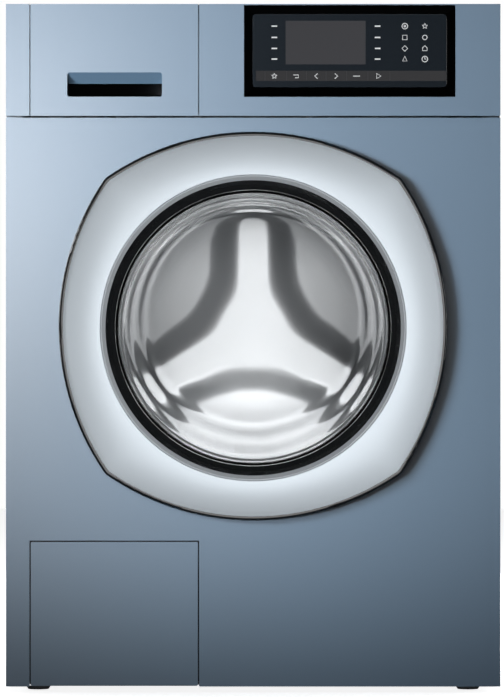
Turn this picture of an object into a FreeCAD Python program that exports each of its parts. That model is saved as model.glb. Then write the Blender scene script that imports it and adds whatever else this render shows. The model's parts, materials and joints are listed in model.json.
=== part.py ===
import FreeCAD, Part
import math
import os

V = FreeCAD.Vector

# Cabinet, in millimetres. X runs to the right, Y to the back, Z up; the floor is Z = 0.
cabinet_width = 600.0
cabinet_depth = 590.0
total_height = 835.0
underside_height = 6.7
sheet = 1.2
panel_flange = 15.0
panel_lip = 14.0
return_width = 20.0
top_thickness = 22.0
top_wall = 3.0
top_rim = 18.0
top_edge_radius = 2.0
base_thickness = 1.6
base_rim = 30.0
crossbar_width = 30.0
crossbar_height = 12.0
front_crossbar_depth = 50.0
rear_crossbar_room = 45.0
door_proud = 30.0
rear_reach = 20.0

# Front layout: seam under the fascia, drawer and flap in one column at the left.
fascia_height = 137.0
seam_gap = 2.4
column_margin = 28.6
column_share = 0.34317
drawer_gap = 1.2
flap_gap = 1.6
flap_door_gap = 24.7

# Control fascia with its bevelled display.
fascia_wall = 2.5
web_thickness = 3.0
display_margin = 54.7
display_width = 256.3
display_height = 111.2
display_base = 24.3
display_bevel_x = 9.3
display_bevel_z = 10.0
display_rise = 4.0
display_body = 14.0
glass_plate = 3.9
glass_proud = 0.6
glass_corner = 4.0
fit = 0.2

# Detergent drawer.
drawer_wall = 2.5
drawer_stop_gap = 0.3
grip_inset = 45.8
grip_width = 115.0
grip_base = 24.4
grip_height = 29.5
grip_depth = 27.0
grip_lip_depth = 9.5
grip_lip_drop = 13.4
grip_corner = 3.0
tray_wall = 2.2
tray_end_gap = 25.0
tray_side_gap = 18.95
tray_height = 64.0
tray_base = 20.0
tray_corner = 9.0
soap_chamber = 84.0
softener_chamber = 34.0
softener_floor = 12.0
siphon_radius = 7.0
housing_wall = 2.5
housing_side_gap = 4.0
housing_spring_gap = 35.0
rail_gap = 0.3
rail_width = 8.0
outlet_radius = 16.0

# Door: four shallow arcs with soft corners outside, a round lip inside.
door_band = 50.5
door_rise = 2.2
door_side_bulge = 0.331
door_corner_angle = 34.3
door_rim = 9.0
door_back_gap = 4.0
door_skin = 3.0
rim_band = 4.5
rim_front = 15.0
rim_round = 3.6
rim_ledge = 3.0
lip_wall = 3.0
lip_step = 7.0
trim_lap = 4.5
trim_proud = 27.0
trim_drop = 15.0
glass_thickness = 4.0
glass_flange = 14.0
bowl_gap = 8.0
bowl_taper = 46.0
bowl_depth = 76.0
bowl_rise = 17.0
door_fit = 0.3
frame_plate = 2.5

# Door hinge at the left and latch at the right.
hinge_inset = 7.0
hinge_out = 9.0
hinge_spacing = 40.0
hinge_eye = 3.0
hinge_arm_width = 4.0
hinge_arm_height = 6.0
hinge_pin = 1.5
hinge_pin_length = 20.0
hinge_plate = 3.0
running_gap = 0.05
latch_inset = 23.5
latch_width = 5.0
latch_height = 12.0
latch_length = 22.0
latch_nose = 6.0
latch_pivot = 2.5
latch_out = 12.0
lock_depth = 34.0
lock_wall = 4.0

# Tub, drum and drive on one level axis.
axis_share = 0.6294
opening_step = 20.0
collar_depth = 14.0
tub_front_depth = 72.0
tub_wall = 5.0
tub_side_room = 46.0
tub_share = 0.3675
tub_rear_room = 75.0
tub_flange = 11.0
flange_thickness = 8.0
tub_lip_step = 2.0
tub_lip_wall = 4.0
tub_lip_length = 18.0
tub_bolt_radius = 3.0
tub_bolt_count = 12
hub_radius = 58.0
hub_length = 53.0
rib_thickness = 6.0
rib_height = 18.0
rib_count = 12
drum_clearance = 14.0
drum_sheet = 1.2
drum_gap = 6.0
drum_rear_gap = 34.0
drum_rim = 68.0
drum_shoulder = 12.0
dish_height = 15.0
dish_cap = 34.0
dish_edge = 34.0
star_height = 22.0
star_arm = 90.0
star_taper = 14.0
star_end_gap = 50.0
star_hub = 68.0
lifter_height = 52.0
lifter_base = 74.0
lifter_top = 26.0
lifter_end_gap = 16.0
spider_gap = 0.3
spider_arm_root = 62.0
spider_arm_tip = 34.0
spider_thickness = 20.0
spider_hub = 46.0
shaft_front = 15.0
shaft_rear = 12.5
shaft_tail = 10.0
bearing_front = 31.0
bearing_front_width = 16.0
bearing_rear = 26.0
bearing_rear_width = 15.0
pulley_radius = 140.0
pulley_width = 16.0
pulley_rim = 8.0
pulley_hub = 26.0
pulley_spokes = 6
motor_x = 70.0
motor_gap = 9.0
motor_radius = 52.0
motor_length = 170.0
motor_pulley_radius = 11.0
motor_shaft = 7.0
belt_thickness = 4.0
belt_width = 13.0
belt_gap = 0.3
heater_radius = 3.2
heater_spread = 22.0
heater_end_gap = 135.0
heater_tail = 12.0
heater_plate = 10.0
weight_band = 54.0
weight_thickness = 27.0
weight_angle = 54.0
upper_weight_width = 220.0
upper_weight_end_gap = 75.0
upper_weight_front_gap = 65.0
upper_weight_rise = 73.0
upper_weight_gap = 22.95

# Suspension: two springs above, two dampers below.
spring_wall_gap = 40.8
spring_radius = 13.0
spring_wire = 2.2
spring_turns = 7
spring_clear = 0.3
hanger_drop = 67.0
hanger_plate = 3.0
spring_seat = 158.0
damper_x = 150.0
damper_radius = 17.0
damper_rod = 7.0
damper_top = 150.0
damper_foot = 12.0
damper_seat = 214.0

# Water: valve, hoses, pump, and the filter bay behind the flap.
hose_wall = 2.0
valve_inset = 44.5
valve_drop = 60.0
thread_radius = 13.2
neck_radius = 12.0
valve_stub = 7.0
fill_inset = 71.4
fill_depth = 190.0
fill_drop = 8.0
fill_length = 44.0
pump_height = 80.0
pump_radius = 36.0
pump_bore = 31.0
pump_length = 82.0
bay_depth = 36.0
bay_wall = 2.5
filter_radius = 30.0
filter_knob = 14.0
filter_gap = 0.4
sump_x = -60.0
sump_depth = 110.0
sump_radius = 17.0
sump_bend = 40.0
drain_radius = 10.5
drain_neck = 9.5
drain_drop = 65.0
drain_offset = 26.0
drain_run_rise = 82.0
drain_rear_room = 60.0
drain_bend = 30.0
gland_inset = 100.0
gland_drop = 65.0
gland_radius = 9.0
cord_bore = 4.0

# Gasket profile and rear cover.
gasket_wall = 4.0
gasket_fold = 12.0
service_radius = 172.0
service_lap = 14.0
service_bulge = 8.0
service_drop = 60.0
cap_inset = 70.0
cap_above = 198.2
cap_below = 191.8
cap_radius = 12.0

# Feet.
foot_side = 37.0
foot_front = 55.0
foot_rear_room = 55.0
foot_top = 17.0
foot_bottom = 12.5
stud_radius = 5.0
stud_length = 52.0
foot_boss = 12.0
foot_boss_height = 14.0

# Flap hinge.
flap_thickness = 2.5
flap_rib_depth = 7.0
flap_axis_in = 5.6
flap_axis_depth = 6.0
flap_eye = 3.0
flap_arm_height = 6.0
flap_pin = 1.75
flap_knuckle = 10.0

# Places that follow from the sizes above.
FRONT = door_proud - (door_proud + cabinet_depth + rear_reach) / 2
half = cabinet_width / 2
inner = half - sheet
shell_top = total_height - top_thickness
seam_height = total_height - fascia_height
front_top = seam_height - seam_gap / 2
fascia_bottom = seam_height + seam_gap / 2
column_width = column_share * cabinet_width
column_left = -half + column_margin
column_right = column_left + column_width
rear_inner = cabinet_depth - 2 * sheet
base_top = underside_height + base_thickness
foot_rear = cabinet_depth - foot_rear_room
rear_crossbar_depth = cabinet_depth - rear_crossbar_room
display_x1 = half - display_margin
display_x0 = display_x1 - display_width
display_z0 = seam_height + display_base
display_z1 = display_z0 + display_height
drawer_left = column_left + drawer_gap
drawer_right = column_right - drawer_gap
web_depth = panel_flange - web_thickness
drawer_back = web_depth - drawer_stop_gap
grip_left = column_left + grip_inset
grip_right = grip_left + grip_width
grip_bottom = seam_height + grip_base
grip_top = grip_bottom + grip_height
grip_back = grip_depth + drawer_wall
tray_left = column_left + tray_side_gap
tray_right = column_right - tray_side_gap
tray_bottom = seam_height + tray_base
tray_top = tray_bottom + tray_height
housing_left = tray_left - housing_side_gap - housing_wall
housing_right = tray_right + housing_side_gap + housing_wall
housing_bottom = tray_bottom - rail_gap - 2 * housing_wall
crossbar_bottom = shell_top - sheet - crossbar_height
panel_rise = seam_height - underside_height
axis_height = underside_height + axis_share * panel_rise
tub_radius = min(half - tub_side_room, tub_share * panel_rise)
tub_outer = tub_radius + tub_wall
tub_length = cabinet_depth - tub_front_depth - tub_wall - hub_length - tub_rear_room
drum_radius = tub_radius - drum_clearance
drum_length = tub_length - drum_gap - drum_rear_gap
drum_mouth = drum_radius - drum_rim
opening_radius = drum_mouth + opening_step
tub_lip_radius = drum_mouth + tub_lip_step
bowl_mouth = drum_mouth - bowl_gap
bowl_floor = bowl_mouth - bowl_taper
flange_radius = bowl_mouth + glass_flange
trim_inner = flange_radius - trim_lap
lip_radius = flange_radius + lip_step
door_half = lip_radius + door_band
door_centre = axis_height + door_rise
ring_half = door_half - rim_band - door_fit
flap_top = door_centre - door_half - flap_door_gap
latch_reach = door_half - latch_inset
hinge_x = -door_half + hinge_inset
hinge_z = [door_centre - hinge_spacing / 2, door_centre + hinge_spacing / 2]
tub_back = tub_front_depth + tub_wall + tub_length
tub_joint = tub_front_depth + tub_wall + 2
hub_end = tub_back + hub_length
drum_front_depth = tub_front_depth + tub_wall + drum_gap
drum_back_depth = drum_front_depth + drum_length
pulley_start = hub_end + 5
pulley_end = pulley_start + pulley_width
motor_z = axis_height - tub_outer - motor_gap - motor_radius
spring_x = inner - spring_wall_gap
spring_depth = tub_front_depth + tub_wall + tub_length / 2
damper_depth = spring_depth
hanger_height = total_height - hanger_drop
housing_end = spring_depth - housing_spring_gap
tray_end = housing_end - tray_end_gap + grip_back - panel_flange
valve_x = column_right - valve_inset
valve_height = total_height - valve_drop
fill_x = column_left + fill_inset
fill_top = seam_height - fill_drop
fill_bottom = fill_top - fill_length
weight_inner = tub_radius - weight_band
pump_x = (column_left + column_right) / 2
bay_back = bay_depth + bay_wall
flap_axis_x = column_left + flap_gap + flap_axis_in
drain_x = pump_x - drain_offset
drain_height = total_height - drain_drop
drain_run_height = pump_height + drain_run_rise
drain_rise_depth = cabinet_depth - drain_rear_room
gland_x = half - gland_inset
gland_height = total_height - gland_drop


def block(x0, x1, d0, d1, z0, z1):
    """Box between two X, two depths behind the front face, and two heights."""
    return Part.makeBox(x1 - x0, d1 - d0, z1 - z0, V(x0, FRONT + d0, z0))


def level_bar(radius, x, z, d0, d1):
    """Round bar along the depth."""
    return Part.makeCylinder(radius, d1 - d0, V(x, FRONT + d0, z), V(0, 1, 0))


def post(radius, x, depth, z0, z1):
    """Upright round bar."""
    return Part.makeCylinder(radius, z1 - z0, V(x, FRONT + depth, z0))


def cross_bar(radius, x0, x1, depth, z):
    """Round bar along X."""
    return Part.makeCylinder(radius, x1 - x0, V(x0, FRONT + depth, z), V(1, 0, 0))


def fused(first, *rest):
    return first.multiFuse(list(rest)).removeSplitter()


def mirrored(shape):
    return shape.mirror(V(0, 0, 0), V(1, 0, 0))


def rounded(x0, x1, z0, z1, radius, depth):
    """Upright rectangle with round corners, as a wire at one depth."""
    y = FRONT + depth
    edges = []
    corners = [(x1 - radius, z1 - radius, 0), (x0 + radius, z1 - radius, 90),
               (x0 + radius, z0 + radius, 180), (x1 - radius, z0 + radius, 270)]
    ends = []
    for cx, cz, start in corners:
        at = [math.radians(start + turn) for turn in (0, 45, 90)]
        points = [V(cx + radius * math.cos(a), y, cz + radius * math.sin(a)) for a in at]
        ends.append((points[0], points[2]))
        edges.append(Part.Arc(*points).toShape())
    for i in range(4):
        edges.append(Part.LineSegment(ends[i][1], ends[(i + 1) % 4][0]).toShape())
    return Part.Wire(Part.__sortEdges__(edges))


def plate(x0, x1, z0, z1, radius, d0, d1):
    return Part.Face(rounded(x0, x1, z0, z1, radius, d0)).extrude(V(0, d1 - d0, 0))


def well(x0, x1, d0, d1, z0, z1, radius):
    """Upright pocket with round vertical corners."""
    solid = block(x0, x1, d0, d1, z0, z1)
    upright = [e for e in solid.Edges if abs(e.Vertexes[0].X - e.Vertexes[-1].X) < 1e-6
               and abs(e.Vertexes[0].Y - e.Vertexes[-1].Y) < 1e-6]
    return solid.makeFillet(radius, upright)


def polygon(points):
    return Part.Face(Part.makePolygon(points + [points[0]]))


def turned(profile, start=0.0, sweep=360.0, x=0.0, z=axis_height):
    """Profile of (radius, depth) points turned about a level axis; 0 degrees is to the right, 90 up."""
    face = polygon([V(x + r, FRONT + d, z) for r, d in profile])
    face.rotate(V(x, FRONT, z), V(0, -1, 0), start)
    return face.revolve(V(x, FRONT, z), V(0, -1, 0), sweep)


def turned_upright(profile, x, depth):
    """Profile of (radius, height) points turned about an upright axis."""
    face = polygon([V(x + r, FRONT + depth, z) for r, z in profile])
    return face.revolve(V(x, FRONT + depth, 0), V(0, 0, 1), 360)


def around(shape, count, angle=0.0):
    """Copies spaced evenly about the drum axis."""
    copies = []
    for i in range(count):
        copy = shape.copy()
        copy.rotate(V(0, FRONT, axis_height), V(0, -1, 0), angle + 360.0 * i / count)
        copies.append(copy)
    return copies


def tube_along(points, bend, outer_radius, bore_radius):
    """Hose along straight runs joined by tangent bends of one radius."""
    edges = []
    start = points[0]
    for i in range(1, len(points) - 1):
        before = (points[i - 1] - points[i]).normalize()
        after = (points[i + 1] - points[i]).normalize()
        turn = math.pi - before.getAngle(after)
        reach = bend * math.tan(turn / 2)
        entry = points[i] + before * reach
        leave = points[i] + after * reach
        inward = (before + after).normalize()
        centre = points[i] + inward * (bend / math.cos(turn / 2))
        edges.append(Part.LineSegment(start, entry).toShape())
        edges.append(Part.Arc(entry, centre - inward * bend, leave).toShape())
        start = leave
    edges.append(Part.LineSegment(start, points[-1]).toShape())
    path = Part.Wire(edges)
    heading = points[1] - points[0]
    outside = Part.Wire([Part.Circle(points[0], heading, outer_radius).toShape()])
    bore = Part.Wire([Part.Circle(points[0], heading, bore_radius).toShape()])
    solid = path.makePipeShell([outside], True, False)
    return solid.cut(path.makePipeShell([bore], True, False))


def barrel(half_size, bulge, depth, centre_z):
    """Door outline: four side arcs and four corner arcs, all tangent; with no bulge it is a circle."""
    y = FRONT + depth
    spread = math.radians(door_corner_angle)
    side = half_size * (1 + bulge)
    corner = side - half_size * bulge / (math.cos(spread) - math.sin(spread))
    offset = side - half_size
    inset = (side - corner) * math.sin(spread)
    edges = []
    for quarter in range(4):
        base = quarter * math.pi / 2

        def at(cx, cz, radius, angle):
            px = cx + radius * math.sin(angle)
            pz = cz + radius * math.cos(angle)
            return V(px * math.cos(base) + pz * math.sin(base), y,
                     centre_z - px * math.sin(base) + pz * math.cos(base))

        edges.append(Part.Arc(at(0, -offset, side, -spread), at(0, -offset, side, 0),
                              at(0, -offset, side, spread)).toShape())
        edges.append(Part.Arc(at(inset, inset, corner, spread), at(inset, inset, corner, math.pi / 4),
                              at(inset, inset, corner, math.pi / 2 - spread)).toShape())
    return Part.Wire(edges)


# Cabinet shell.
def side_panel():
    """Right-hand panel: one folded sheet with returns, and the hanger for its spring."""
    wall = block(inner, half, panel_flange, cabinet_depth, underside_height, shell_top)
    edge = half - return_width
    front = block(edge, half, panel_flange, panel_flange + sheet, underside_height, shell_top)
    rear = block(edge, half, cabinet_depth - sheet, cabinet_depth, underside_height, shell_top)
    top = block(edge, half, panel_flange, cabinet_depth, shell_top - sheet, shell_top)
    reach = spring_radius + 2 * spring_wire
    hanger = block(spring_x - reach, half, spring_depth - reach, spring_depth + reach,
                   hanger_height, hanger_height + hanger_plate)
    return fused(wall, front, rear, top, hanger)


def base_pan():
    """Pressed floor with upturned rims, foot bosses and damper seats."""
    d0 = panel_flange + sheet
    outer = block(-inner, inner, d0, rear_inner, underside_height, underside_height + base_rim)
    tray = outer.cut(block(-inner + base_thickness, inner - base_thickness, d0 + base_thickness,
                           rear_inner - base_thickness, base_top, total_height))
    side = 2 * bay_wall + fit
    tray = tray.cut(block(column_left - side, column_right + side, 0, d0 + base_thickness,
                          base_top, total_height))
    extras = []
    for x, depth in foot_places():
        extras.append(post(foot_boss, x, depth, underside_height, base_top + foot_boss_height))
    for x in (-damper_x, damper_x):
        extras.append(block(x - damper_radius, x + damper_radius, damper_depth - damper_radius,
                            damper_depth + damper_radius, underside_height, base_top + damper_foot))
    pan = fused(tray, *extras)
    for x, depth in foot_places():
        pan = pan.cut(post(stud_radius + running_gap, x, depth, 0, total_height))
    return pan


def foot_places():
    return [(x, depth) for x in (-half + foot_side, half - foot_side) for depth in (foot_front, foot_rear)]


def foot(x, depth):
    """Tapered pad on a threaded stud."""
    pad = Part.makeCone(foot_bottom, foot_top, underside_height, V(x, FRONT + depth, 0))
    return fused(pad, post(stud_radius, x, depth, underside_height / 2, underside_height + stud_length))


def front_panel():
    """Folded sheet with a collared door opening, a flap opening and slots for hinge and latch."""
    tray = block(-half, half, 0, panel_flange, underside_height, front_top)
    tray = tray.cut(block(-half + sheet, half - sheet, sheet, panel_flange - sheet,
                          underside_height + sheet, front_top - sheet))
    tray = tray.cut(block(-half + panel_lip, half - panel_lip, panel_flange - 2 * sheet, panel_flange + 1,
                          underside_height + panel_lip, front_top - panel_lip))
    collar = level_bar(opening_radius + sheet, 0, axis_height, 0, collar_depth)
    panel = fused(tray, collar)
    panel = panel.cut(level_bar(opening_radius, 0, axis_height, -1, panel_flange + 1))
    panel = panel.cut(block(column_left, column_right, -1, panel_flange + 1, 0, flap_top))
    side = 2 * bay_wall + fit
    panel = panel.cut(block(column_left - side, column_right + side, sheet, panel_flange + 1, 0, flap_top))
    slot = hinge_arm_width / 2 + 1
    for z in hinge_z:
        panel = panel.cut(block(hinge_x - slot, hinge_x + slot, -1, 2 * sheet,
                                z - hinge_arm_height / 2 - 1, z + hinge_arm_height / 2 + 1))
    window = latch_height / 2 + 3
    return panel.cut(block(latch_reach - 5, latch_reach + latch_width + latch_nose + 3, -1, 2 * sheet,
                           axis_height - window, axis_height + window))


def rear_panel():
    sheet_plate = plate(-inner + fit, inner - fit, underside_height + 1, shell_top - sheet - fit, 3,
                        rear_inner, rear_inner + sheet)
    holes = [level_bar(service_radius, 0, axis_height - service_drop, rear_inner - 1, cabinet_depth)]
    holes.append(level_bar(neck_radius + door_fit, valve_x, valve_height, rear_inner - 1, cabinet_depth))
    holes.append(level_bar(drain_neck + door_fit, drain_x, drain_height, rear_inner - 1, cabinet_depth))
    holes.append(level_bar(gland_radius + fit, gland_x, gland_height, rear_inner - 1, cabinet_depth))
    for x, z in cap_places():
        holes.append(level_bar(cap_radius - 3, x, z, rear_inner - 1, cabinet_depth))
    return sheet_plate.cut(holes)


def cap_places():
    sides = (cap_inset - half, half - cap_inset)
    return [(x, z) for x in sides for z in (axis_height + cap_above, axis_height - cap_below)]


def rear_service_cover():
    """Dished round cover over the drive, seated on the rear panel."""
    seat = rear_inner + sheet
    rim = service_radius + service_lap
    foot_r = service_radius - 4
    crown = foot_r - 2 * service_bulge
    profile = [(0, seat + service_bulge), (crown, seat + service_bulge), (foot_r, seat), (rim, seat),
               (rim, seat + sheet), (foot_r + sheet / 2, seat + sheet),
               (crown + sheet / 2, seat + service_bulge + sheet), (0, seat + service_bulge + sheet)]
    return turned(profile, z=axis_height - service_drop)


def transit_bolt_caps():
    """Caps pushed into the transit bolt holes."""
    seat = rear_inner + sheet
    stem = cap_radius - 3 - fit
    profile = [(0, rear_inner - 6), (stem, rear_inner - 6), (stem, seat), (cap_radius, seat),
               (cap_radius, seat + 2), (cap_radius - 3, seat + 4), (0, seat + 4)]
    return Part.makeCompound([turned(profile, x=x, z=z) for x, z in cap_places()])


def top_cover():
    """Lid with a hollow underside and eased edges."""
    lid = block(-half, half, panel_flange, cabinet_depth, shell_top, total_height)
    eased = [e for e in lid.Edges if min(v.Z for v in e.Vertexes) > total_height - 1e-6
             and max(v.Y for v in e.Vertexes) > FRONT + panel_flange + 1e-6]
    lid = lid.makeFillet(top_edge_radius, eased)
    return lid.cut(block(-half + top_rim, half - top_rim, panel_flange + top_rim, cabinet_depth - top_rim,
                         shell_top - 1, total_height - top_wall))


def crossbars():
    """Two channels that tie the side panels together under the lid."""
    bars = []
    for depth in (front_crossbar_depth, rear_crossbar_depth):
        bar = block(-inner, inner, depth, depth + crossbar_width, crossbar_bottom, shell_top - sheet)
        bars.append(bar.cut(block(-half, half, depth + sheet, depth + crossbar_width - sheet,
                                  crossbar_bottom - 1, shell_top - 2 * sheet)))
    return Part.makeCompound(bars)


# Control fascia and display.
def control_fascia():
    """Moulded fascia: a hollow front with a bay for the drawer, closed by a recessed web."""
    wall = fascia_wall
    front = block(-half, half, 0, panel_flange, fascia_bottom, total_height)
    front = front.cut(block(-half + wall, half - wall, wall, panel_flange + 1,
                            fascia_bottom + wall, total_height - wall))
    bay = block(column_left - wall, column_right + wall, 0, panel_flange, fascia_bottom, total_height)
    front = fused(front, bay)
    front = front.cut(block(column_left, column_right, -1, web_depth, fascia_bottom - 1, total_height + 1))
    front = front.cut(block(housing_left + housing_wall, housing_right - housing_wall, web_depth - 1,
                            panel_flange + 1, tray_bottom - 2, tray_top + 2))
    return front.cut(block(display_x0 - fit, display_x1 + fit, -1, panel_flange + 1,
                           display_z0 - fit, display_z1 + fit))


def display_frame():
    """Bevelled frame that stands proud of the fascia and holds the glass in a pocket."""
    low = Part.makePolygon([V(display_x0, FRONT, display_z0), V(display_x1, FRONT, display_z0),
                            V(display_x1, FRONT, display_z1), V(display_x0, FRONT, display_z1),
                            V(display_x0, FRONT, display_z0)])
    y = FRONT - display_rise
    x0, x1 = display_x0 + display_bevel_x, display_x1 - display_bevel_x
    z0, z1 = display_z0 + display_bevel_z, display_z1 - display_bevel_z
    high = Part.makePolygon([V(x0, y, z0), V(x1, y, z0), V(x1, y, z1), V(x0, y, z1), V(x0, y, z0)])
    bevel = Part.makeLoft([low, high], True, True)
    body = block(display_x0, display_x1, 0, display_body, display_z0, display_z1)
    frame = fused(body, bevel)
    pocket = plate(x0 + 1, x1 - 1, z0 + 1, z1 - 1, glass_corner, -display_rise - 1,
                   glass_plate - display_rise - glass_proud + fit)
    return frame.cut(pocket)


def display_glass():
    x0, x1 = display_x0 + display_bevel_x + 1 + fit, display_x1 - display_bevel_x - 1 - fit
    z0, z1 = display_z0 + display_bevel_z + 1 + fit, display_z1 - display_bevel_z - 1 - fit
    face = -display_rise - glass_proud
    slab = plate(x0, x1, z0, z1, glass_corner - fit, face, face + glass_plate)
    edge = [e for e in slab.Edges if abs(e.BoundBox.YMax - FRONT - face) < 1e-6]
    return slab.makeChamfer(glass_proud * 0.8, edge)


def control_board():
    """Circuit board on spacers behind the display, with its relays, capacitors and connectors."""
    x0, x1 = display_x0 + 14, display_x1 - 14
    z0, z1 = display_z0 + 8, shell_top - 3
    back = display_body + 5
    board = block(x0, x1, back, back + 1.6, z0, z1)
    fitted = [level_bar(4, x, z, display_body, back) for x in (x0 + 6, x1 - 6) for z in (z0 + 6, z1 - 6)]
    face = back + 1.6
    for i in range(5):
        x = x0 + 18 + 32 * i
        fitted.append(block(x, x + 20, face, face + 15, z0 + 12, z0 + 28))
    for i in range(4):
        fitted.append(level_bar(8, x0 + 30 + 26 * i, z1 - 22, face, face + 22))
    fitted.append(block(x0 + 150, x1 - 14, face, face + 10, z1 - 32, z1 - 14))
    return fused(board, *fitted)


# Detergent drawer and its housing.
def drawer_front():
    """Hollow front with a finger slot: a sloping lip, and room to curl the fingers up behind it."""
    wall = drawer_wall
    front = block(drawer_left, drawer_right, 0, drawer_back, fascia_bottom, total_height)
    front = front.cut(block(drawer_left + wall, drawer_right - wall, wall, drawer_back + 1,
                            fascia_bottom + wall, total_height - wall))
    pocket = block(grip_left - wall, grip_right + wall, 0, grip_back, grip_bottom - wall, grip_top + wall)
    front = fused(front, pocket)
    lip_z = grip_top - grip_lip_drop
    side = [(-1, grip_bottom), (grip_depth, grip_bottom), (grip_depth, grip_top),
            (grip_lip_depth + wall, grip_top), (grip_lip_depth, lip_z), (0, grip_top), (-1, grip_top)]
    room = polygon([V(grip_left, FRONT + d, z) for d, z in side]).extrude(V(grip_width, 0, 0))
    shape = plate(grip_left, grip_right, grip_bottom, grip_top, grip_corner, -1, grip_back)
    return front.cut(room.common(shape))


def drawer_tray():
    """Three chambers: main wash, softener with a raised floor, prewash."""
    wall = tray_wall
    tray = well(tray_left, tray_right, grip_back, tray_end, tray_bottom, tray_top, tray_corner + wall)
    d0, d1 = grip_back + wall, tray_end - wall
    edges = [tray_left, tray_left + soap_chamber, tray_left + soap_chamber + softener_chamber + wall,
             tray_right - wall]
    floors = [tray_bottom + wall, tray_bottom + softener_floor, tray_bottom + wall]
    for i in range(3):
        tray = tray.cut(well(edges[i] + wall, edges[i + 1], d0, d1, floors[i], tray_top + 1, tray_corner))
    return tray


def siphon_insert():
    """Hooded siphon that stands at the back of the softener chamber."""
    x0 = tray_left + soap_chamber + tray_wall
    mid = x0 + softener_chamber / 2
    floor = tray_bottom + softener_floor
    depth = tray_end - 40
    hood = post(siphon_radius, mid, depth, floor, tray_top - 10)
    lid = block(x0 + 1, x0 + softener_chamber - 1, depth - 18, depth + 18, tray_top - 12, tray_top - 8)
    rib = block(mid - 1.2, mid + 1.2, depth - 16, depth + 16, tray_top - 26, tray_top - 10)
    return fused(hood, lid, rib)


def dispenser_housing():
    """Box that takes the drawer, with rails, a funnel outlet and a water spigot at the back."""
    wall = housing_wall
    outer = block(housing_left, housing_right, panel_flange, housing_end, housing_bottom, crossbar_bottom)
    room = block(housing_left + wall, housing_right - wall, panel_flange - 1, housing_end - wall,
                 housing_bottom + wall, crossbar_bottom - wall)
    rails = [block(x, x + rail_width, panel_flange, housing_end, housing_bottom, tray_bottom - rail_gap)
             for x in (tray_left, tray_right - rail_width)]
    outlet = post(outlet_radius, fill_x, fill_depth, fill_top - 14, housing_bottom + wall / 2)
    spigot = level_bar(valve_stub, valve_x, valve_height, housing_end - wall / 2, housing_end + 18)
    housing = fused(outer.cut(room), outlet, spigot, *rails)
    return housing.cut([post(outlet_radius - hose_wall, fill_x, fill_depth, 0, housing_bottom + 2 * wall),
                        level_bar(valve_stub - hose_wall, valve_x, valve_height,
                                  housing_end - 2 * wall, housing_end + 20)])


# Door.
def door_height(t):
    """Height of the ring in front of the panel, from its rim (0) to its lip (1)."""
    rim = door_back_gap + door_rim
    return rim + (door_proud - rim) * (1 - (1 - t) ** 2)


def door_dome(skin):
    """Solid under the ring's front: a dome that turns from barrel to circle."""
    steps = [i / 6.0 for i in range(7)]
    wires = []
    for t in steps:
        size = ring_half + (lip_radius - ring_half) * t - skin
        centre = door_centre + (axis_height - door_centre) * t
        wires.append(barrel(size, door_side_bulge * (1 - t), skin - door_height(t), centre))
    return Part.makeLoft(wires, True, False)


def door_slab(size, d0, d1):
    """Plate with the door's outline."""
    return Part.Face(barrel(size, door_side_bulge, d0, door_centre)).extrude(V(0, d1 - d0, 0))


def hinge_notches():
    """Room in the door for the fixed hinge arms through the whole swing."""
    room = hinge_arm_height / 2 + 0.6
    reach = hinge_eye + door_fit
    return [block(-door_half - 5, hinge_x + 2 * hinge_eye, -hinge_out - reach, 0, z - room, z + room)
            for z in hinge_z]


def door_ring():
    """Silver ring: hollow dome from barrel rim to round lip."""
    rim = -door_back_gap - door_rim
    core = level_bar(lip_radius + lip_wall, 0, axis_height, -door_proud - 1, 0)
    shell = door_dome(0.0).cut(door_dome(door_skin).cut(core))
    lip = level_bar(lip_radius + lip_wall, 0, axis_height, rim - 1, -door_back_gap - frame_plate)
    return fused(shell, lip).cut(level_bar(lip_radius, 0, axis_height, -door_proud - 1, 0))


def door_inner_frame():
    """Black back frame: plate, raised rim, seat for the glass, hinge lugs and latch bearings."""
    back = -door_back_gap
    ledge = back - door_rim
    bead = door_slab(door_half, -rim_front, back)
    crest = [e for e in bead.Edges if e.BoundBox.YMax < FRONT - rim_front + 1e-6]
    bead = bead.makeFillet(rim_round, crest)
    bead = bead.cut(door_slab(door_half - rim_band, -rim_front - 1, ledge))
    frame = bead.cut(door_slab(door_half - rim_band - rim_ledge, -rim_front - 1, back - frame_plate))
    seat = level_bar(lip_radius - door_fit, 0, axis_height, back - frame_plate - 2, back)
    room = fused(door_dome(door_skin + door_fit), door_slab(ring_half, ledge + door_fit, back))
    lugs = []
    for z in hinge_z:
        lugs.append(block(-door_half + rim_band, hinge_x + 4 * hinge_eye, -hinge_out - hinge_eye, back,
                          z - hinge_pin_length / 2, z + hinge_pin_length / 2))
    span = latch_height / 2 + 6
    lug = block(latch_reach - 4, latch_reach + latch_width + 4, -latch_out - latch_pivot - 2, back,
                axis_height - span, axis_height + span)
    lugs.append(lug.common(room))
    frame = fused(frame, seat, *lugs)
    frame = frame.cut(level_bar(lip_radius + lip_wall + door_fit, 0, axis_height, -door_proud,
                                back - frame_plate).cut(seat))
    frame = frame.cut(level_bar(bowl_mouth + glass_thickness + door_fit, 0, axis_height, -door_proud, 0))
    frame = frame.cut(hinge_notches())
    for z in hinge_z:
        frame = frame.cut(post(hinge_pin + running_gap, hinge_x, -hinge_out, z - hinge_pin_length / 2 + 1,
                               z + hinge_pin_length))
    room = latch_height / 2 + 0.4
    middle = latch_reach + latch_width / 2
    frame = frame.cut(block(latch_reach - 5, latch_reach + latch_width + latch_nose + 2, -door_proud, 1,
                            axis_height - room, axis_height + room))
    return frame.cut(post(latch_pivot + running_gap, middle, -latch_out, axis_height - room - 4,
                          axis_height + room + 4))


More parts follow.
